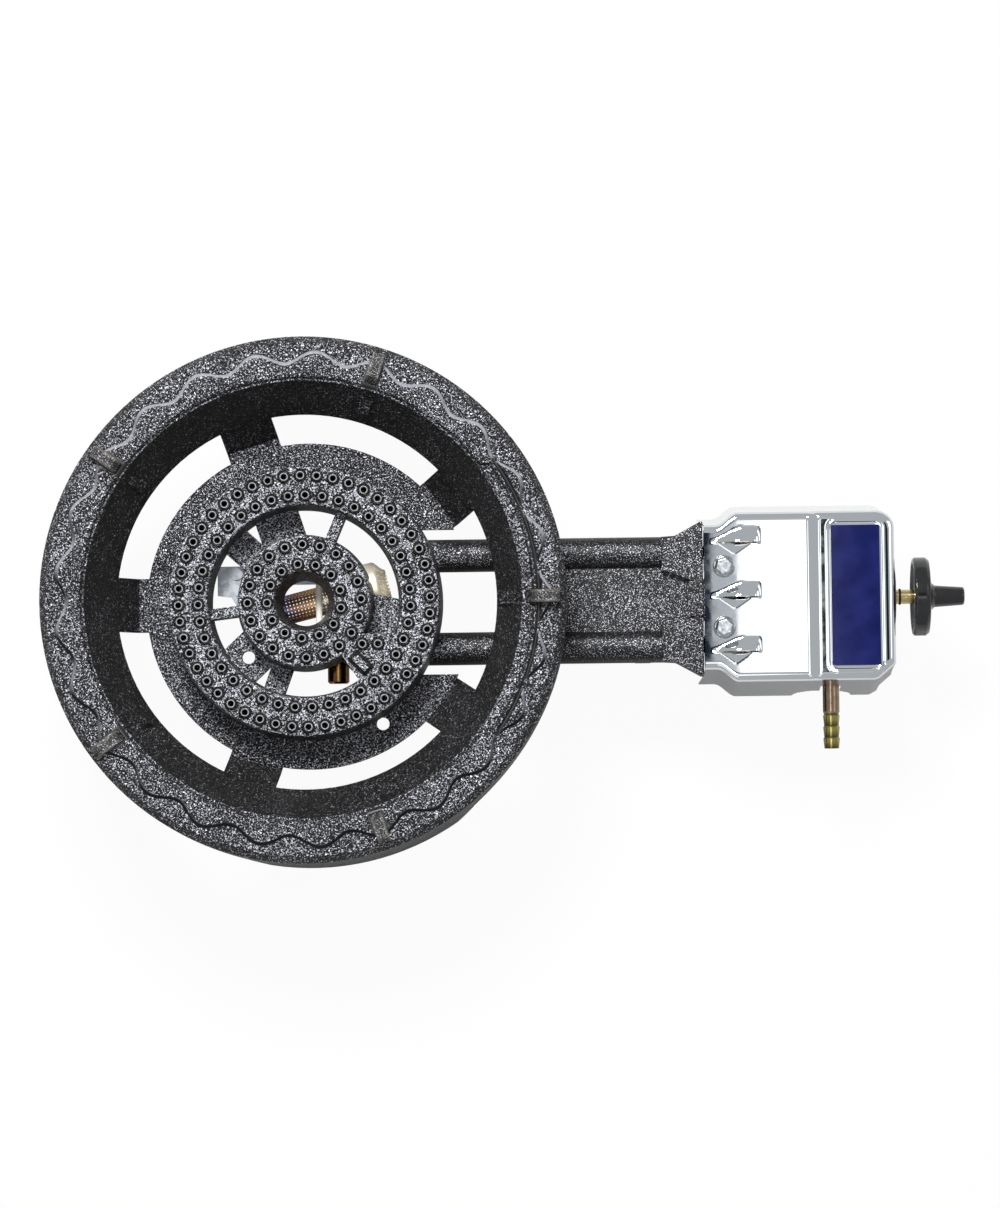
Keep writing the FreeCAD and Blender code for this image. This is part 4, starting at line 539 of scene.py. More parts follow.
phenolic = plain_finish("moulded_black_phenolic", "101011", "1a1a1b", 6, 0.1, edge_mm=1.5)
dress(phenolic, "knob", "igniter_housing")
dress(plain_finish("black_rubber", "121212", "1b1b1b", 3, 0.7, relief=0.3), "stem_o_ring")
dress(plain_finish("silicone_lead_skin", "5e2a22", "6d342a", 8, 0.5), "ignition_lead")
dress(plain_finish("unglazed_alumina", "e4dfd2", "f3efe6", 4, 0.55), "electrode_insulator")
dress(plain_finish("drawn_aluminium_pipe", "b9bbbd", "cfd1d3", 9, 0.32, metal=1.0), "pilot_tube")
dress(plain_finish("moulded_acetal", "dbd8cf", "e8e5dd", 4, 0.45), "igniter_plunger", "igniter_cam")
dress(plain_finish("blue_enamel_plate", "101545", "171d57", 14, 0.08, relief=0.03), "name_plate")
dress(plain_finish("black_enamel_disc", "0e0f0f", "1a1a1a", 5, 0.35), "dial_plate")
print("small parts done")

# %% [markdown]
# The pilot's flame tube is thin bright steel that has been hot, so it carries temper colours:
# straw, copper brown, then blue where it was hottest. The colours follow the tube's length.

# %% Heat-tinted steel
TINT_FROM, TINT_TO, TINT_DRIFT = ring_x - 16 * MM, ring_x + 50 * MM, 0.24
TEMPER = ((0.0, "5d6fa8"), (0.14, "8a5a3c"), (0.3, "c79a62"), (0.5, "efe5c6"), (0.72, "f4eedd"),
          (1.0, "e9dcb8"))
tinted, tree, shader, place = new_finish("heat_tinted_steel")
along = add(tree, SPLIT, (place,)).outputs["X"]
run = add(tree, RANGE, (along, TINT_FROM, TINT_TO, -TINT_DRIFT / 2, 1 - TINT_DRIFT / 2))
drift = cloudy(tree, place, 9, 3.0)
shift = add(tree, MATH, (drift, TINT_DRIFT), "MULTIPLY")
heat = add(tree, MATH, (run, shift))
wire(shader, {"Base Color": ramp(tree, heat, TEMPER), "Metallic": 0.55, "Roughness": 0.34})
print("temper colours ready")

# %% [markdown]
# Geometry Nodes make what repeats. A tree gets one named input for each size. It is run once on
# an empty mesh, with its sizes set by the identifiers of its inputs, and the result is kept as a
# plain mesh at the origin. Two forms start from a flat grid that is bent round an axis, so there
# are helpers for that too.

# %% Running a tree


def new_tree(name, sizes):
    """A Geometry Nodes tree with one named number for each size; returns it with these numbers."""
    tree = bpy.data.node_groups.new(name, "GeometryNodeTree")
    tree.interface.new_socket("Geometry", in_out="OUTPUT", socket_type="NodeSocketGeometry")
    for label, value in sizes.items():
        kind = "NodeSocketInt" if isinstance(value, int) else "NodeSocketFloat"
        tree.interface.new_socket(label, in_out="INPUT", socket_type=kind)
    return tree, add(tree, "NodeGroupInput").outputs


def unit_grid(tree, columns, rows):
    """A flat grid of side 1, and the X and Y of its points, which run from -0.5 to 0.5."""
    grid = add(tree, "GeometryNodeMeshGrid", {"Size X": 1.0, "Size Y": 1.0, "Vertices X": columns,
                                              "Vertices Y": rows})
    place = add(tree, SPLIT, (add(tree, "GeometryNodeInputPosition"),)).outputs
    return grid, place["X"], place["Y"]


def round_axis(tree, angle, radius):
    """The two coordinates of a point at an angle and a radius from an axis."""
    sides = [add(tree, MATH, (angle,), side) for side in ("COSINE", "SINE")]
    return [add(tree, MATH, (side, radius), "MULTIPLY") for side in sides]


def bend(tree, grid, spot, gap):
    """Moves the points of a grid to their places and joins the two sides that meet."""
    moved = add(tree, "GeometryNodeSetPosition", {"Geometry": grid, "Position": spot})
    return add(tree, "GeometryNodeMergeByDistance", {"Geometry": moved, "Distance": gap})


def coat(tree, shape, material):
    """Makes every copy real and gives the whole a material."""
    real = add(tree, "GeometryNodeRealizeInstances", (shape,))
    return add(tree, SET_MATERIAL, {"Geometry": real, "Material": material})


def grow(tree, end, name, sizes):
    """Ends a tree with a node, evaluates it with its sizes and returns a plain mesh object."""
    add(tree, "NodeGroupOutput", (end,))
    seed = show(f"{name}_seed", bpy.data.meshes.new(f"{name}_seed"))
    modifier = seed.modifiers.new("make", "NODES")
    modifier.node_group = tree
    for item in tree.interface.items_tree:
        if item.in_out == "INPUT":
            modifier[item.identifier] = sizes[item.name]
    graph = bpy.context.evaluated_depsgraph_get()
    mesh = bpy.data.meshes.new_from_object(seed.evaluated_get(graph))
    mesh.name = name
    seed.modifiers.remove(modifier)
    bpy.data.objects.remove(seed)
    return show(name, mesh)


# %% [markdown]
# A raw mesh still needs finishing. Curved faces are shaded smooth, all faces have to look
# outward, and a pressed sheet gets its thickness at the end, when its form is done.

# %% Finishing a mesh
SHARP = math.radians(48)


def smooth(piece):
    """Shades all faces of a piece smooth."""
    for face in piece.data.polygons:
        face.use_smooth = True
    return piece


def turn_outward(mesh, outward=None):
    """Makes the faces agree, then turns them so that most point outward by a measure."""
    build = bmesh.new()
    build.from_mesh(mesh)
    bmesh.ops.recalc_face_normals(build, faces=build.faces)
    if outward and sum(outward(face) * face.calc_area() for face in build.faces) < 0:
        bmesh.ops.reverse_faces(build, faces=build.faces)
    build.to_mesh(mesh)
    build.free()


def thicken(piece, thickness):
    """Gives a sheet its thickness, inwards from the faces that it has."""
    sheet = piece.modifiers.new("sheet", "SOLIDIFY")
    sheet.thickness = thickness
    sheet.offset = -1
    graph = bpy.context.evaluated_depsgraph_get()
    thick = bpy.data.meshes.new_from_object(piece.evaluated_get(graph))
    piece.modifiers.remove(sheet)
    piece.data = thick
    smooth(piece)
    thick.set_sharp_from_angle(angle=SHARP)


# %% [markdown]
# Every flame port stands in a small cast collar, so boiling-over water runs past it. The holes
# are in the construction model already. One collar is a ring of twelve steps round a four-sided
# profile, painted dark as painted shade for its shaded flank and its shadow, with a thin lip on
# top painted light as a painted highlight.

# %% Port collars: one collar
PORT_ROWS = (("Outer row", 72.4, 48, 1.3), ("Middle row", 61.0, 39, -3.3),
             ("Inner row", 32.6, 20, 1.4), ("Core row", 21.4, 13, -11.4))
collar_sizes = {"Collar radius": 2.75 * MM, "Collar width": 2.4 * MM, "Collar height": 1.7 * MM,
                "Lip radius": 2.1 * MM, "Lip thickness": 0.3 * MM,
                "Bridge x": 33 * MM, "Bridge y": -25 * MM, "Bridge step": 9 * MM}
for label, radius, count, turn in PORT_ROWS:
    collar_sizes[f"{label} radius"] = radius * MM
    collar_sizes[f"{label} count"] = count
    collar_sizes[f"{label} turn"] = math.radians(turn)
# Painted shade on the collars, a painted highlight on their lips.
shade_paint = silver_vein("painted_shade_on_collars_and_lug", 0.9, 0.12, "0d0d0e", "77797c")
lip_highlight_paint = plain_finish("painted_highlight_on_port_lip", "838487", "babbbf", 1.2, 0.42)

tree, given = new_tree("port_collars", collar_sizes)
slim = add(tree, MATH, (given["Collar width"], 0.5), "MULTIPLY")
profile = add(tree, "GeometryNodeCurvePrimitiveQuadrilateral", {
    "Bottom Width": given["Collar width"], "Top Width": slim, "Height": given["Collar height"],
    "Offset": 0.0}, mode="TRAPEZOID")
lip_bar = add(tree, CIRCLE, {"Resolution": 4, "Radius": given["Lip thickness"]})
lift = add(tree, MATH, (given["Collar height"], 0.5), "MULTIPLY")
lip_place = add(tree, COMBINE, (0.0, 0.0, lift))
collar = add(tree, JOIN)
for radius, section, spot, paint in (("Collar radius", profile, (0, 0, 0), shade_paint),
                                     ("Lip radius", lip_bar, lip_place, lip_highlight_paint)):
    ring = add(tree, CIRCLE, {"Resolution": 12, "Radius": given[radius]})
    swept = add(tree, SWEEP, {"Curve": ring, "Profile Curve": section})
    raised = add(tree, MOVE, {"Geometry": swept, "Translation": spot})
    wire(collar, (add(tree, SET_MATERIAL, {"Geometry": raised, "Material": paint}),))
print("collar tree has", len(collar_sizes), "sizes")

# %% [markdown]
# The ports lie on four circles, and two more stand on the bridge. The tree lays circles of points
# for the rows and a line of two points for the bridge, joins them, sets one collar on each point,
# makes the copies real and lifts the whole to the top of the burner.

# %% Port collars: rows
rows = add(tree, JOIN)
for label, *_ in PORT_ROWS:
    circle = add(tree, "GeometryNodeMeshCircle", {"Vertices": given[f"{label} count"],
                                                  "Radius": given[f"{label} radius"]})
    spin = add(tree, COMBINE, (0.0, 0.0, given[f"{label} turn"]))
    wire(rows, (add(tree, MOVE, {"Geometry": circle, "Rotation": spin}),))
first = add(tree, COMBINE, (given["Bridge x"], given["Bridge y"]))
step = add(tree, COMBINE, (given["Bridge step"],))
wire(rows, (add(tree, LINE, {"Count": 2, "Start Location": first, "Offset": step}),))
planted = add(tree, PLANT, {"Points": rows, "Instance": collar})
real = add(tree, "GeometryNodeRealizeInstances", (planted,))
moved = add(tree, MOVE, {"Geometry": real, "Translation": (ring_x, 0, burner_top)})
collars = smooth(grow(tree, moved, "port_collars", collar_sizes))
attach(collars, "frame")
print("port collars:", len(collars.data.polygons), "faces")

# %% [markdown]
# A wavy border runs round the rim: the inner part of the rim's top is cast a little higher, and
# its outer edge swings in and out. Its outer slope carries painted light and shade: slopes that
# face the far side are painted light and those that face away are painted black. One material
# does both, by how a face lies.

# %% Wavy border: paint
LIGHT_FACING_FROM, LIGHT_FACING_FULL = -0.3, 0.35
# Painted shade: the creases, the bands beside the ribs and the groove are painted black, for the
# shade and shadow that fall there.
crease_shade_paint = plain_finish("painted_shade_in_creases", "0b0b0c", "171718", 4, 0.4)
lit_and_shaded_edge_paint, tree, shader, place = new_finish("painted_light_and_shade_on_relief_edge")
normal = add(tree, "ShaderNodeNewGeometry").outputs["Normal"]
facing = add(tree, SPLIT, (normal,)).outputs["Y"]
# Painted light and shade: a slope's colour follows how far it faces the far side.
to_light = add(tree, RANGE, (facing, LIGHT_FACING_FROM, LIGHT_FACING_FULL))
patch, dusting = patchy(tree, place, 1.6, 3.0, 0.6, 1.1)
lit_share = add(tree, MATH, (to_light, dusting), "MULTIPLY")
tone = blend(tree, lit_share, linear("0c0c0e"), linear("97979d"))
relief = add(tree, BUMP, {"Height": patch, "Strength": 0.2, "Distance": 0.2 * MM})
wire(shader, {"Base Color": tone, "Roughness": 0.38, "Specular IOR Level": DULL_PAINT,
              "Normal": relief})
print("paint of the border ready")

# %% [markdown]
# The form is a grid bent into a ring: one side is the inner edge, the other is a cosine with
# twenty-five swings. Over the arm the inner edge steps back. At both edges the grid lies just
# inside the rim, and it rises to the flat top within the width of the slope.

# %% Wavy border: form
BORDER_LINES, BORDER_ROWS = 901, 27
ARM_STEP = 0.04
SUNK_EDGE = -0.2 * MM
wave_sizes = {"Inner": 125.4 * MM, "Mean": 139.7 * MM, "Swing": 3.4 * MM, "Swings": 25.0,
              "Height": 1.8 * MM, "Edge width": 2.4 * MM, "Arm lip": 4.8 * MM,
              "Arm half angle": math.radians(37),
              "Crease shade": 0.6 * MM, "Rib step": RIB_STEP, "Rib shade half": 4.4 * MM,
              "Groove radius": 134.6 * MM, "Groove half": 1.9 * MM, "Groove depth": 1.6 * MM}
tree, given = new_tree("wavy_border", wave_sizes)
grid, along, across = unit_grid(tree, BORDER_LINES, BORDER_ROWS)
angle = add(tree, MATH, (along, 2 * math.pi), "MULTIPLY")
turns = add(tree, MATH, (angle, given["Swings"]), "MULTIPLY")
swing = add(tree, MATH, (turns,), "COSINE")
outer = add(tree, MATH, (swing, given["Swing"], given["Mean"]), "MULTIPLY_ADD")
away = add(tree, MATH, (angle,), "ABSOLUTE")
arm = given["Arm half angle"]
arm_edge = add(tree, MATH, (arm, ARM_STEP), "SUBTRACT")
at_arm = add(tree, RANGE, (away, arm_edge, arm, given["Arm lip"], 0.0), **SOFT)
inner = add(tree, MATH, (at_arm, given["Inner"]))
share = add(tree, MATH, (across, 0.5))
radius = add(tree, RANGE, (share, 0.0, 1.0, inner, outer))
to_inner = add(tree, MATH, (radius, inner), "SUBTRACT")
to_outer = add(tree, MATH, (outer, radius), "SUBTRACT")
near_edge = add(tree, MATH, (to_inner, to_outer), "MINIMUM")
rise = add(tree, RANGE, (near_edge, 0.0, given["Edge width"], SUNK_EDGE, given["Height"]), **SOFT)
print("border swings", round(wave_sizes["Swings"]), "times")

# %% [markdown]
# Over the arm a groove runs along the border. It is a dip in the height, deepest on one radius,
# and it fades out where the inner edge steps back. What the paint will need, the distances to the
# outer edge and to the ribs and the depth of the groove, is kept before the points move.

# %% Wavy border: groove and bending
off_groove = add(tree, MATH, (radius, given["Groove radius"]), "SUBTRACT")
from_groove = add(tree, MATH, (off_groove,), "ABSOLUTE")
sunk = add(tree, RANGE, (from_groove, 0.0, given["Groove half"], given["Groove depth"], 0.0),
           **SOFT)
by_arm = add(tree, MATH, (at_arm, given["Arm lip"]), "DIVIDE")
groove = add(tree, MATH, (sunk, by_arm), "MULTIPLY")
carved = add(tree, MATH, (rise, groove), "SUBTRACT")
level = add(tree, MATH, (carved, rim_top))
side_x, side_y = round_axis(tree, angle, radius)
spot = add(tree, COMBINE, (add(tree, MATH, (side_x, ring_x)), side_y, level))
kept = add(tree, "GeometryNodeCaptureAttribute", {"Geometry": grid})
from_rib = off_rib(tree, angle, radius, given["Rib step"])
for label, source in (("To outer edge", to_outer), ("From rib", from_rib), ("Groove", groove)):
    kept.capture_items.new("FLOAT", label)
    wire(kept, {label: source})
closed = bend(tree, kept, spot, 0.05 * MM)
print("kept with the grid:", [item.name for item in kept.capture_items])

# %% [markdown]
# The border carries the frame's own paint, with painted light and shade on its outer slope. At
# the foot of the slope, beside the five ribs and in the groove it is painted black, without
# silver: painted shade and shadow.

# %% Wavy border: painting
GROOVE_SHADE_FROM = 0.5 * MM
kept = kept.outputs
painted = coat(tree, closed, frame_paint)
# Painted light and shade on the outer slope; painted shade in the creases, beside the ribs and in
# the groove.
for value, limit, operation, paint in (
        (kept["To outer edge"], given["Edge width"], "LESS_THAN", lit_and_shaded_edge_paint),
        (kept["To outer edge"], given["Crease shade"], "LESS_THAN", crease_shade_paint),
        (kept["From rib"], given["Rib shade half"], "LESS_THAN", crease_shade_paint),
        (kept["Groove"], GROOVE_SHADE_FROM, "GREATER_THAN", crease_shade_paint)):
    inside = add(tree, MATH, (value, limit), operation)
    painted = add(tree, SET_MATERIAL, {"Geometry": painted, "Selection": inside, "Material": paint})
border = smooth(grow(tree, painted, "wavy_border", wave_sizes))
turn_outward(border.data, lambda face: face.normal.z)
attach(border, "frame")
print("wavy border:", len(border.data.polygons), "faces")

# %% [markdown]
# The pilot's flame tube is rolled from thin sheet with rows of small holes, and swells to a bell
# at one end. It could be turned as a solid and drilled, but it is easier to do what the factory
# does: take a flat grid for the sheet, leave out the faces where the punch goes, and roll the
# grid up so that its radius follows the length. Two faces out of four are left out each way, in
# the tube and near the end.

# %% Flame tube: punched sheet
SHEET_LINES, SHEET_ROWS = 127, 97
tube_sizes = {"Start": -14 * MM, "Length": 63 * MM, "Tube radius": 8.5 * MM, "Bell swell": 6 * MM,
              "Bell start": 18 * MM, "Bell full": 29 * MM, "Bell end": 42 * MM,
              "Hole pitch": 2 * MM, "Hole rows": 24.0, "Last hole": 15.5 * MM,
              "Next hole": 43.5 * MM}
tree, given = new_tree("flame_tube", tube_sizes)
sheet, along, around = unit_grid(tree, SHEET_LINES, SHEET_ROWS)
share = add(tree, MATH, (along, 0.5))
reach = add(tree, MATH, (share, given["Length"], given["Start"]), "MULTIPLY_ADD")
run = add(tree, MATH, (share, given["Length"]), "MULTIPLY")
column = add(tree, MATH, (run, given["Hole pitch"]), "DIVIDE")
row = add(tree, MATH, (around, given["Hole rows"]), "MULTIPLY")
in_tube = add(tree, MATH, (reach, given["Last hole"]), "LESS_THAN")
in_end = add(tree, MATH, (reach, given["Next hole"]), "GREATER_THAN")
punched = add(tree, MATH, (in_tube, in_end))
for count in (column, row):
    part = add(tree, MATH, (count,), "FRACT")
    first_half = add(tree, MATH, (part, 0.5), "LESS_THAN")
    punched = add(tree, MATH, (punched, first_half), "MULTIPLY")
holed = add(tree, "GeometryNodeDeleteGeometry", {"Geometry": sheet, "Selection": punched},
            domain="FACE")
print("sheet with", round(tube_sizes["Hole rows"]), "rows of holes")

# %% [markdown]
# Rolling gives each point of the sheet an angle and a radius. The radius swells where the bell
# starts and closes again towards the tip. The rolled tube is turned to its place under the rings,
# its faces are made to look away from its axis, and the sheet gets its thickness.

# %% Flame tube: rolled
TUBE_SHEET = 0.8 * MM
pilot_turn = math.radians(14)
pilot_centre = Vector((ring_x, 0, 74 * MM))
tip = add(tree, MATH, (given["Start"], given["Length"]))
swell, closing = [
    add(tree, RANGE, (reach, start, end, 0.0, given["Bell swell"]), **SOFT)
    for start, end in ((given["Bell start"], given["Bell full"]), (given["Bell end"], tip))]
wide = add(tree, MATH, (given["Tube radius"], swell))
radius = add(tree, MATH, (wide, closing), "SUBTRACT")
angle = add(tree, MATH, (around, 2 * math.pi), "MULTIPLY")
spot = add(tree, COMBINE, (reach, *round_axis(tree, angle, radius)))
closed = bend(tree, holed, spot, 0.02 * MM)
laid = add(tree, MOVE, {"Geometry": closed, "Rotation": (0, 0, pilot_turn),
                        "Translation": pilot_centre})
flame_tube = grow(tree, coat(tree, laid, tinted), "flame_tube", tube_sizes)
tube_axis = Vector((math.cos(pilot_turn), math.sin(pilot_turn), 0))


def from_axis(face):
    """How far a face of the tube looks away from the tube's axis."""
    spoke = face.calc_center_median() - pilot_centre
    return face.normal.dot(spoke - tube_axis * spoke.dot(tube_axis))


turn_outward(flame_tube.data, from_axis)
thicken(flame_tube, TUBE_SHEET)
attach(flame_tube, "frame")
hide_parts("pilot_burner")
print("flame tube:", len(flame_tube.data.polygons), "faces")

# %% [markdown]
# A short cast lug stands across the end of the bridge between the two burner rings. Sand casting
# needs sloping sides, to leave the sand, and gives no sharp edge: the block is wider at its foot,
# which stays inside the bridge, and rounded on all sides. Its flanks are painted dark, a painted
# shade.

# %% Cast lug on the bridge
LUG_SIZE = Vector((11, 5, 9)) * MM
LUG_DRAFT = 4.5 * MM
LUG_ROUND = 1.1 * MM
LUG_TURN = -0.8
LUG_SHADE_BELOW = 0.9
lug_spot = Vector((ring_x + 32 * MM, -36 * MM, burner_top - 1.0 * MM))
build = bmesh.new()
bmesh.ops.create_cube(build, size=1.0)
bmesh.ops.scale(build, vec=LUG_SIZE, verts=build.verts)
for corner in build.verts:
    if corner.co.z < 0:
        corner.co.x += math.copysign(LUG_DRAFT, corner.co.x)
        corner.co.y += math.copysign(LUG_DRAFT, corner.co.y)
bmesh.ops.bevel(build, geom=build.edges[:], offset=LUG_ROUND, segments=3, profile=0.5,
                affect="EDGES")
turned = Quaternion((0, 0, 1), LUG_TURN).to_matrix()
bmesh.ops.rotate(build, verts=build.verts, cent=(0, 0, 0), matrix=turned)
bmesh.ops.translate(build, verts=build.verts, vec=lug_spot)
lug_mesh = bpy.data.meshes.new("bridge_lug")
build.to_mesh(lug_mesh)
build.free()
lug_mesh.materials.append(burner_paint)
lug_mesh.materials.append(shade_paint)
# Faces that do not lie near level get the dark paint: painted shade on the lug's flanks.
for face in lug_mesh.polygons:
    face.material_index = 0 if face.normal.z > LUG_SHADE_BELOW else 1
bridge_lug = smooth(show("bridge_lug", lug_mesh))
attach(bridge_lug, "frame")
print("bridge lug:", len(lug_mesh.polygons), "faces")

# %% [markdown]
# The cover over the tap is pressed from one sheet of steel: a flat top with three air scoops and
# a raised panel, a rounded shoulder, and walls that flare to the foot. It could be cut from a box
# with bevels, but a press makes smooth forms, and chrome shows every facet. So the top is a fine
# grid whose height follows a formula, and the walls are its edge carried outwards and down, level
# by level. The cover is drawn in millimetres from the ring's centre and turned to metres last.

# %% Cover: plan of the flat top
COVER_START, COVER_FRONT = 230.3, 336.0
WAIST_HALF, WAIST_GAIN = 37.3, 7.2
WAIST_START, WAIST_END = 237, 249.5
ROUND_CORNER = 7.0
CUT_LENGTH, CUT_SLOPE = 8.5, 0.85


def ease(value, low, high):
    """A smooth rise from 0 at low to 1 at high."""
    share = min(1.0, max(0.0, (value - low) / (high - low)))
    return share * share * (3 - 2 * share)


def half_width(x, side):
    """Half the flat top's width: narrow by the arm, wider over the tap, with one cut corner."""
    wide = WAIST_HALF + WAIST_GAIN * ease(x, WAIST_START, WAIST_END)
    if side > 0:
        corner = max(0.0, x - (COVER_FRONT - ROUND_CORNER))
        return wide - ROUND_CORNER + math.sqrt(max(0.0, ROUND_CORNER ** 2 - corner ** 2))
    return wide - CUT_SLOPE * max(0.0, x - (COVER_FRONT - CUT_LENGTH))


print("half widths:", [round(half_width(x, 1), 1) for x in (231, 250, 290, 335)])

# %% [markdown]
# A scoop is a pointed hood that rises to a sharp crest and stops there, with a mouth under the
# crest and a shallow three-cornered ramp in front of it. The panel is one broad step with a thin
# bead round its plate.

# %% Cover: height of the top
STEP = 0.7
SCOOP_TIP, SCOOP_END = 234.0, 262.5
SCOOP_PITCH = 45 * STEP
SCOOP_RISE, SCOOP_DEPTH = 4.4, 9.0
RISE_LENGTH, DEPTH_LENGTH, END_LENGTH = 17, 20, 3.2
TIP_DEPTH = 0.25
RAMP_DEPTH, RAMP_REACH = 1.0, 6.3
RAMP_MIDDLE, RAMP_HALF = 248.0, 9.6
PANEL_RISE, PANEL_START, PANEL_END = 3.0, 290, 296.5
BEAD_RISE, BEAD_WIDTH, BEAD_CORNER = 0.6, 0.9, 4
BEAD_MIDDLE, BEAD_HALF_LONG, BEAD_HALF_WIDE = 317.6, 15.0, 42.4
HAIR = 1e-6


def scoop_rise(x):
    """Height of a scoop's crest along its length, from the pointed tip to the blunt end."""
    rise = SCOOP_RISE * ease(x, SCOOP_TIP, SCOOP_TIP + RISE_LENGTH)
    return rise * ease(SCOOP_END - x, 0, END_LENGTH)


def top_height(x, y):
    """Height of the top over the flat sheet, in millimetres."""
    height = PANEL_RISE * ease(x, PANEL_START, PANEL_END)
    across = abs(y) - BEAD_HALF_WIDE + BEAD_CORNER
    along = abs(x - BEAD_MIDDLE) - BEAD_HALF_LONG + BEAD_CORNER
    outside = math.hypot(max(across, 0), max(along, 0)) + min(max(across, along), 0) - BEAD_CORNER
    height += BEAD_RISE * math.exp(-(outside / BEAD_WIDTH) ** 2)
    for row in (-1, 0, 1):
        back = y - row * SCOOP_PITCH
        grown = ease(x, SCOOP_TIP, SCOOP_TIP + DEPTH_LENGTH)
        depth = SCOOP_DEPTH * (TIP_DEPTH + (1 - TIP_DEPTH) * grown)
        if -HAIR < back < depth:
            height += scoop_rise(x) * 0.5 * (1 + math.cos(math.pi * back / depth))
        aside = abs(x - RAMP_MIDDLE) / RAMP_HALF
        if back < -HAIR and aside < 1:
            height -= RAMP_DEPTH * max(0.0, 1 - aside + back / RAMP_REACH)
    return height


print("heights:", [round(top_height(x, 0.0), 2) for x in (236, 250, 270, 310)])

# %% [markdown]
# The grid keeps its lines straight over the scoops and only the outer lines follow the edge.
# Faces that would close a scoop's mouth are left out: they stand nearly upright.

# %% Cover: grid of the top
CORE, RIM_LINES, STATIONS = 48, 9, 152
MOUTH_HEIGHT = 2.0
CORE_WIDTH = 0.8


def across_lines(x):
    """Places across the top at one station: fixed lines in the middle, stretched ones beside."""
    middle = [step * STEP for step in range(-CORE, CORE + 1)]
    near, far = [[half - (half - middle[-1]) * step / RIM_LINES for step in range(RIM_LINES)]
                 for half in (half_width(x, -1), half_width(x, 1))]
    return [-y for y in near] + middle + far[::-1]


build = bmesh.new()
top = []
for station in range(STATIONS):
    x = COVER_START + (COVER_FRONT - COVER_START) * station / (STATIONS - 1)
    top.append([build.verts.new((x, y, COVER_TOP + top_height(x, y))) for y in across_lines(x)])
for first, second in zip(top, top[1:]):
    for column in range(len(first) - 1):
        corners = (first[column], second[column], second[column + 1], first[column + 1])
        tall = max(corner.co.z for corner in corners) - min(corner.co.z for corner in corners)
        is_core = abs(corners[2].co.y - corners[1].co.y) < CORE_WIDTH
        is_mouth = tall > MOUTH_HEIGHT and corners[0].co.x < SCOOP_END - 1 and is_core
        if not is_mouth:
            build.faces.new(corners)
print("flat top:", len(build.faces), "faces")

# %% [markdown]
# The walls start at the grid's border: first a rounded shoulder, then a straight flare to the
# foot, with a small lip turned out at the end by the arm. The stem needs a hole, and the hose
# tail a slot that ends in a round notch at the foot.

# %% Cover: rules of the walls
COVER_FOOT = 52.0
SHOULDER, SHOULDER_STEPS, WALL_STEPS = 4.5, 8, 44
FLARE_SIDE, FLARE_FRONT = 11.0, 4.0
LIP_FLARE, LIP_LENGTH = 2.4, 9
STEM_HOLE = 6.0
HOSE_SIDE, SLOT_HALF = -40, 6.0
NOTCH_X, NOTCH_RADIUS = 299.5, 17.2


def wall_point(spot, way, step):
    """A point of the walls, some steps down from a point of the border and out along its way."""
    turn = math.pi / 2 * min(1.0, step / SHOULDER_STEPS)
    down = max(0, step - SHOULDER_STEPS) / WALL_STEPS
    flare = FLARE_SIDE * way.y ** 2 + FLARE_FRONT * way.x ** 2
    radius = min(SHOULDER, flare)
    reach = radius * math.sin(turn) + (flare - radius) * down
    level = spot.z - SHOULDER * (1 - math.cos(turn)) - (spot.z - SHOULDER - COVER_FOOT) * down
    lip = LIP_FLARE * down ** 2 * (1 - ease(spot.x, COVER_START, COVER_START + LIP_LENGTH))
    return spot.x + way.x * reach - lip, spot.y + way.y * reach, level


def is_open(middle):
    """Whether a face of the walls lies in the stem's hole, in the hose slot or in its notch."""
    above = middle.z - tap_level / MM
    at_stem = middle.x > COVER_FRONT and math.hypot(middle.y, above) < STEM_HOLE
    in_slot = math.hypot(middle.x - TAIL_X, max(0.0, above)) < SLOT_HALF
    in_notch = math.hypot(middle.x - NOTCH_X, middle.z - COVER_FOOT) < NOTCH_RADIUS
    return at_stem or (middle.y < HOSE_SIDE and (in_slot or in_notch))


half_way = wall_point(Vector((290, 44.5, COVER_TOP)), Vector((0, 1, 0)),
                      (SHOULDER_STEPS + WALL_STEPS) // 2)
print("far wall, half way down:", [round(value, 1) for value in half_way])

# %% [markdown]
# Each point of the border needs a way out: straight to the side along the flanks, and square to
# the border round the front and its corners. Then ring after ring of points goes down the walls,
# each joined to the one before, and the finished sheet gets its thickness.

# %% Cover: walls and sheet
FRONT_ZONE = 10
COVER_SHEET = 0.9 * MM
outline = [row[0] for row in top] + top[-1][1:-1] + [row[-1] for row in reversed(top)]
places = [corner.co.copy() for corner in outline]
ways = []
for index, spot in enumerate(places):
    run = places[min(index + 1, len(places) - 1)] - places[max(index - 1, 0)]
    square = Vector((run.y, -run.x, 0)).normalized()
    sideways = Vector((0, math.copysign(1, spot.y), 0))
    ways.append(square if spot.x > COVER_FRONT - FRONT_ZONE else sideways)
previous = outline
for step in range(1, SHOULDER_STEPS + WALL_STEPS + 1):
    ring = [build.verts.new(wall_point(spot, way, step)) for spot, way in zip(places, ways)]
    for index in range(len(ring) - 1):
        corners = (previous[index], ring[index], ring[index + 1], previous[index + 1])
        if not is_open(sum((corner.co for corner in corners), Vector()) / 4):
            build.faces.new(corners)
    previous = ring
for corner in build.verts:
    corner.co = Vector((ring_x + corner.co.x * MM, corner.co.y * MM, corner.co.z * MM))
loose = [corner for corner in build.verts if not corner.link_faces]
bmesh.ops.delete(build, geom=loose, context="VERTS")
cover_mesh = bpy.data.meshes.new("pressed_cover")
build.to_mesh(cover_mesh)
build.free()
turn_outward(cover_mesh, lambda face: face.normal.z)
cover_mesh.materials.append(chrome)
pressed_cover = show("pressed_cover", cover_mesh)
thicken(pressed_cover, COVER_SHEET)
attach(pressed_cover, "frame")
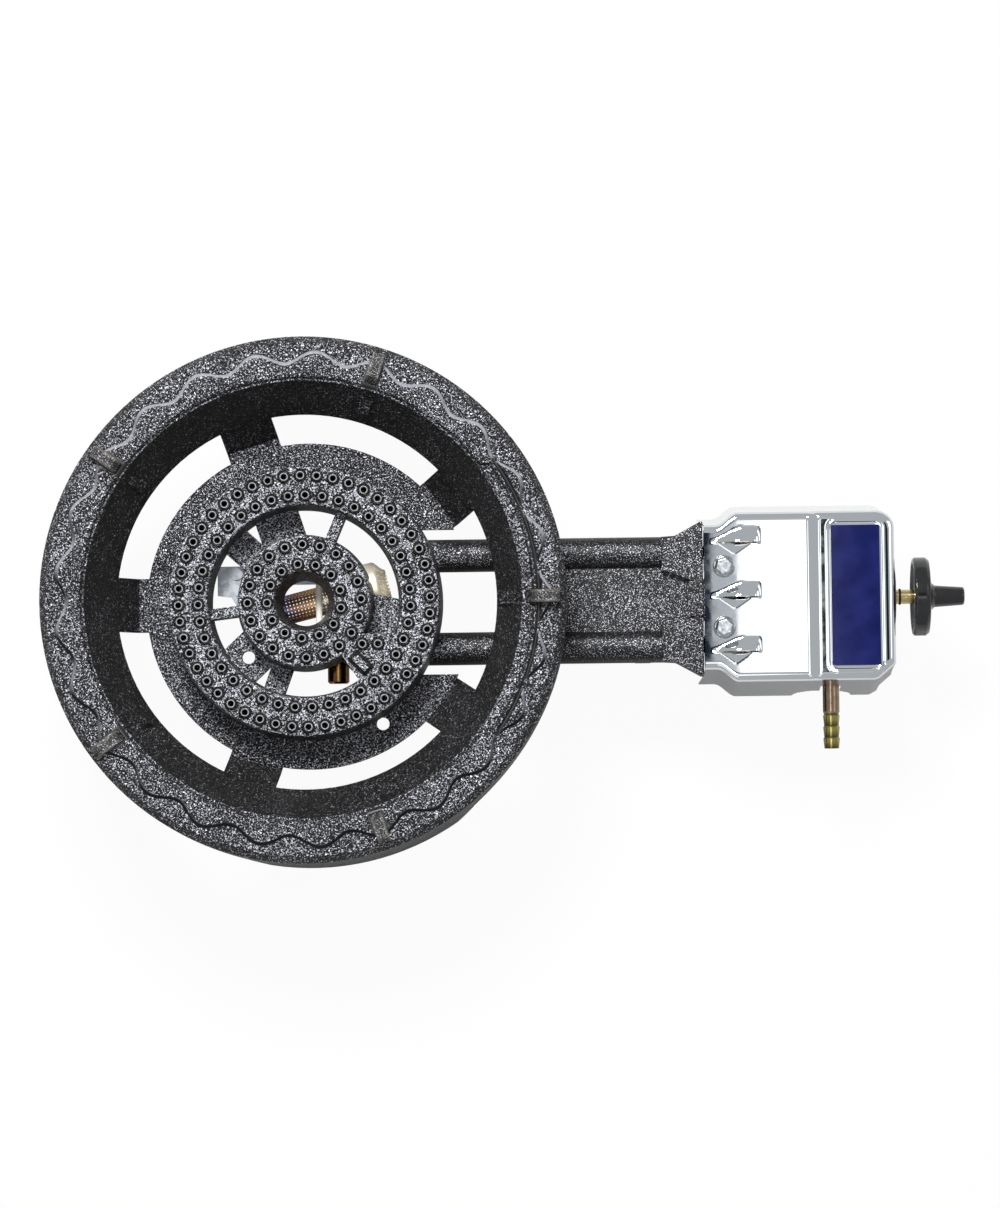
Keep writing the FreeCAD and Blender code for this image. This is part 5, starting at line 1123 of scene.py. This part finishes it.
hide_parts("chrome_cover")
print("pressed cover:", len(pressed_cover.data.polygons), "faces")

# %% [markdown]
# Two hexagon bolts with a flange hold the cover. The forged head has a chamfer round its top and
# the flange slopes, and these slopes show the hexagon from above. Four cones make one bolt in a
# tree: a plain hexagon, a narrowing one on it, the flange and the shank. It is set on two points.

# %% Cover bolts
BOLT_TURN = 0.3
bright_zinc = plain_finish("bright_zinc_on_bolts", "8f9498", "c4c8cb", 1.8, 0.3, metal=1.0,
                           relief=0.2, edge_mm=0.5)
bolt_low, bolt_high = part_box("cover_bolts")
bolt_sizes = {"Hexagon radius": 10 / math.sqrt(3) * MM, "Flange radius": 6.5 * MM,
              "Shank radius": 3.0 * MM, "Chamfer height": 1.1 * MM, "Flange height": 1.4 * MM,
              "Bolt x": ring_x + 241.5 * MM, "Bolt y": 17.6 * MM, "Seat": cover_level,
              "Head": bolt_high.z - cover_level, "Shank": cover_level - bolt_low.z}
tree, given = new_tree("cover_bolts", bolt_sizes)
hexagon, flange, shank = given["Hexagon radius"], given["Flange radius"], given["Shank radius"]
straight = add(tree, MATH, (given["Head"], given["Chamfer height"]), "SUBTRACT")
narrow, waist, under, near_side, apart = [
    add(tree, MATH, (given[label], factor), "MULTIPLY")
    for label, factor in (("Hexagon radius", 0.76), ("Flange radius", 0.86), ("Shank", -1.0),
                          ("Bolt y", -1.0), ("Bolt y", 2.0))]
bolt = add(tree, JOIN)
for corners, low, high, tall, start in (
        (6, hexagon, hexagon, straight, 0.0),
        (6, hexagon, narrow, given["Chamfer height"], straight),
        (28, flange, waist, given["Flange height"], 0.0),
        (16, shank, shank, given["Shank"], under)):
    cone = add(tree, "GeometryNodeMeshCone", {"Vertices": corners, "Radius Bottom": low,
                                              "Radius Top": high, "Depth": tall})
    lift = add(tree, COMBINE, (0.0, 0.0, start))
    wire(bolt, (add(tree, MOVE, {"Geometry": cone, "Translation": lift,
                                 "Rotation": (0, 0, BOLT_TURN)}),))
first = add(tree, COMBINE, (given["Bolt x"], near_side, given["Seat"]))
step = add(tree, COMBINE, (0.0, apart))
pair = add(tree, LINE, {"Count": 2, "Start Location": first, "Offset": step})
planted = add(tree, PLANT, {"Points": pair, "Instance": bolt})
hex_bolts = grow(tree, coat(tree, planted, bright_zinc), "hexagon_bolts", bolt_sizes)
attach(hex_bolts, "frame")
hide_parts("cover_bolts")
print("cover bolts:", len(hex_bolts.data.polygons), "faces")

# %% [markdown]
# Behind the knob a coil spring pushes the stem out. A spring is a wire that follows a spiral, so
# a tree draws the spiral, sweeps a small circle along it and lays it on its side. The spring
# stands on the plug with one end and the pushed stem shortens it; here it is attached to the plug:
# a coil that simply moved with the stem would cut into the plug.

# %% Stem spring
spring_low, spring_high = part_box("stem_spring")
spring_wire = 1.2 * MM
spring_length = spring_high[0] - spring_low[0]
spring_sizes = {"Turns": 4.0, "Radius": (spring_high[1] - spring_low[1] - spring_wire) / 2,
                "Wire": spring_wire / 2, "Length": spring_length - spring_wire}
tree, given = new_tree("stem_spring", spring_sizes)
spiral = add(tree, "GeometryNodeCurveSpiral", {
    "Resolution": 24, "Rotations": given["Turns"], "Start Radius": given["Radius"],
    "End Radius": given["Radius"], "Height": given["Length"]})
section = add(tree, CIRCLE, {"Resolution": 10, "Radius": given["Wire"]})
swept = add(tree, SWEEP, {"Curve": spiral, "Profile Curve": section, "Fill Caps": True})
lying = add(tree, MOVE, {
    "Geometry": swept, "Rotation": (0, math.radians(90), 0),
    "Translation": (spring_low[0] + spring_wire / 2, 0, (spring_low[2] + spring_high[2]) / 2)})
spring = smooth(grow(tree, coat(tree, lying, zinc), "coil_spring", spring_sizes))
turn_outward(spring.data)
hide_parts("stem_spring")
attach(spring, "plug")
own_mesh(spring)
print("stem spring:", len(spring.data.polygons), "faces,", f"{spring_length / MM:.1f} mm long")
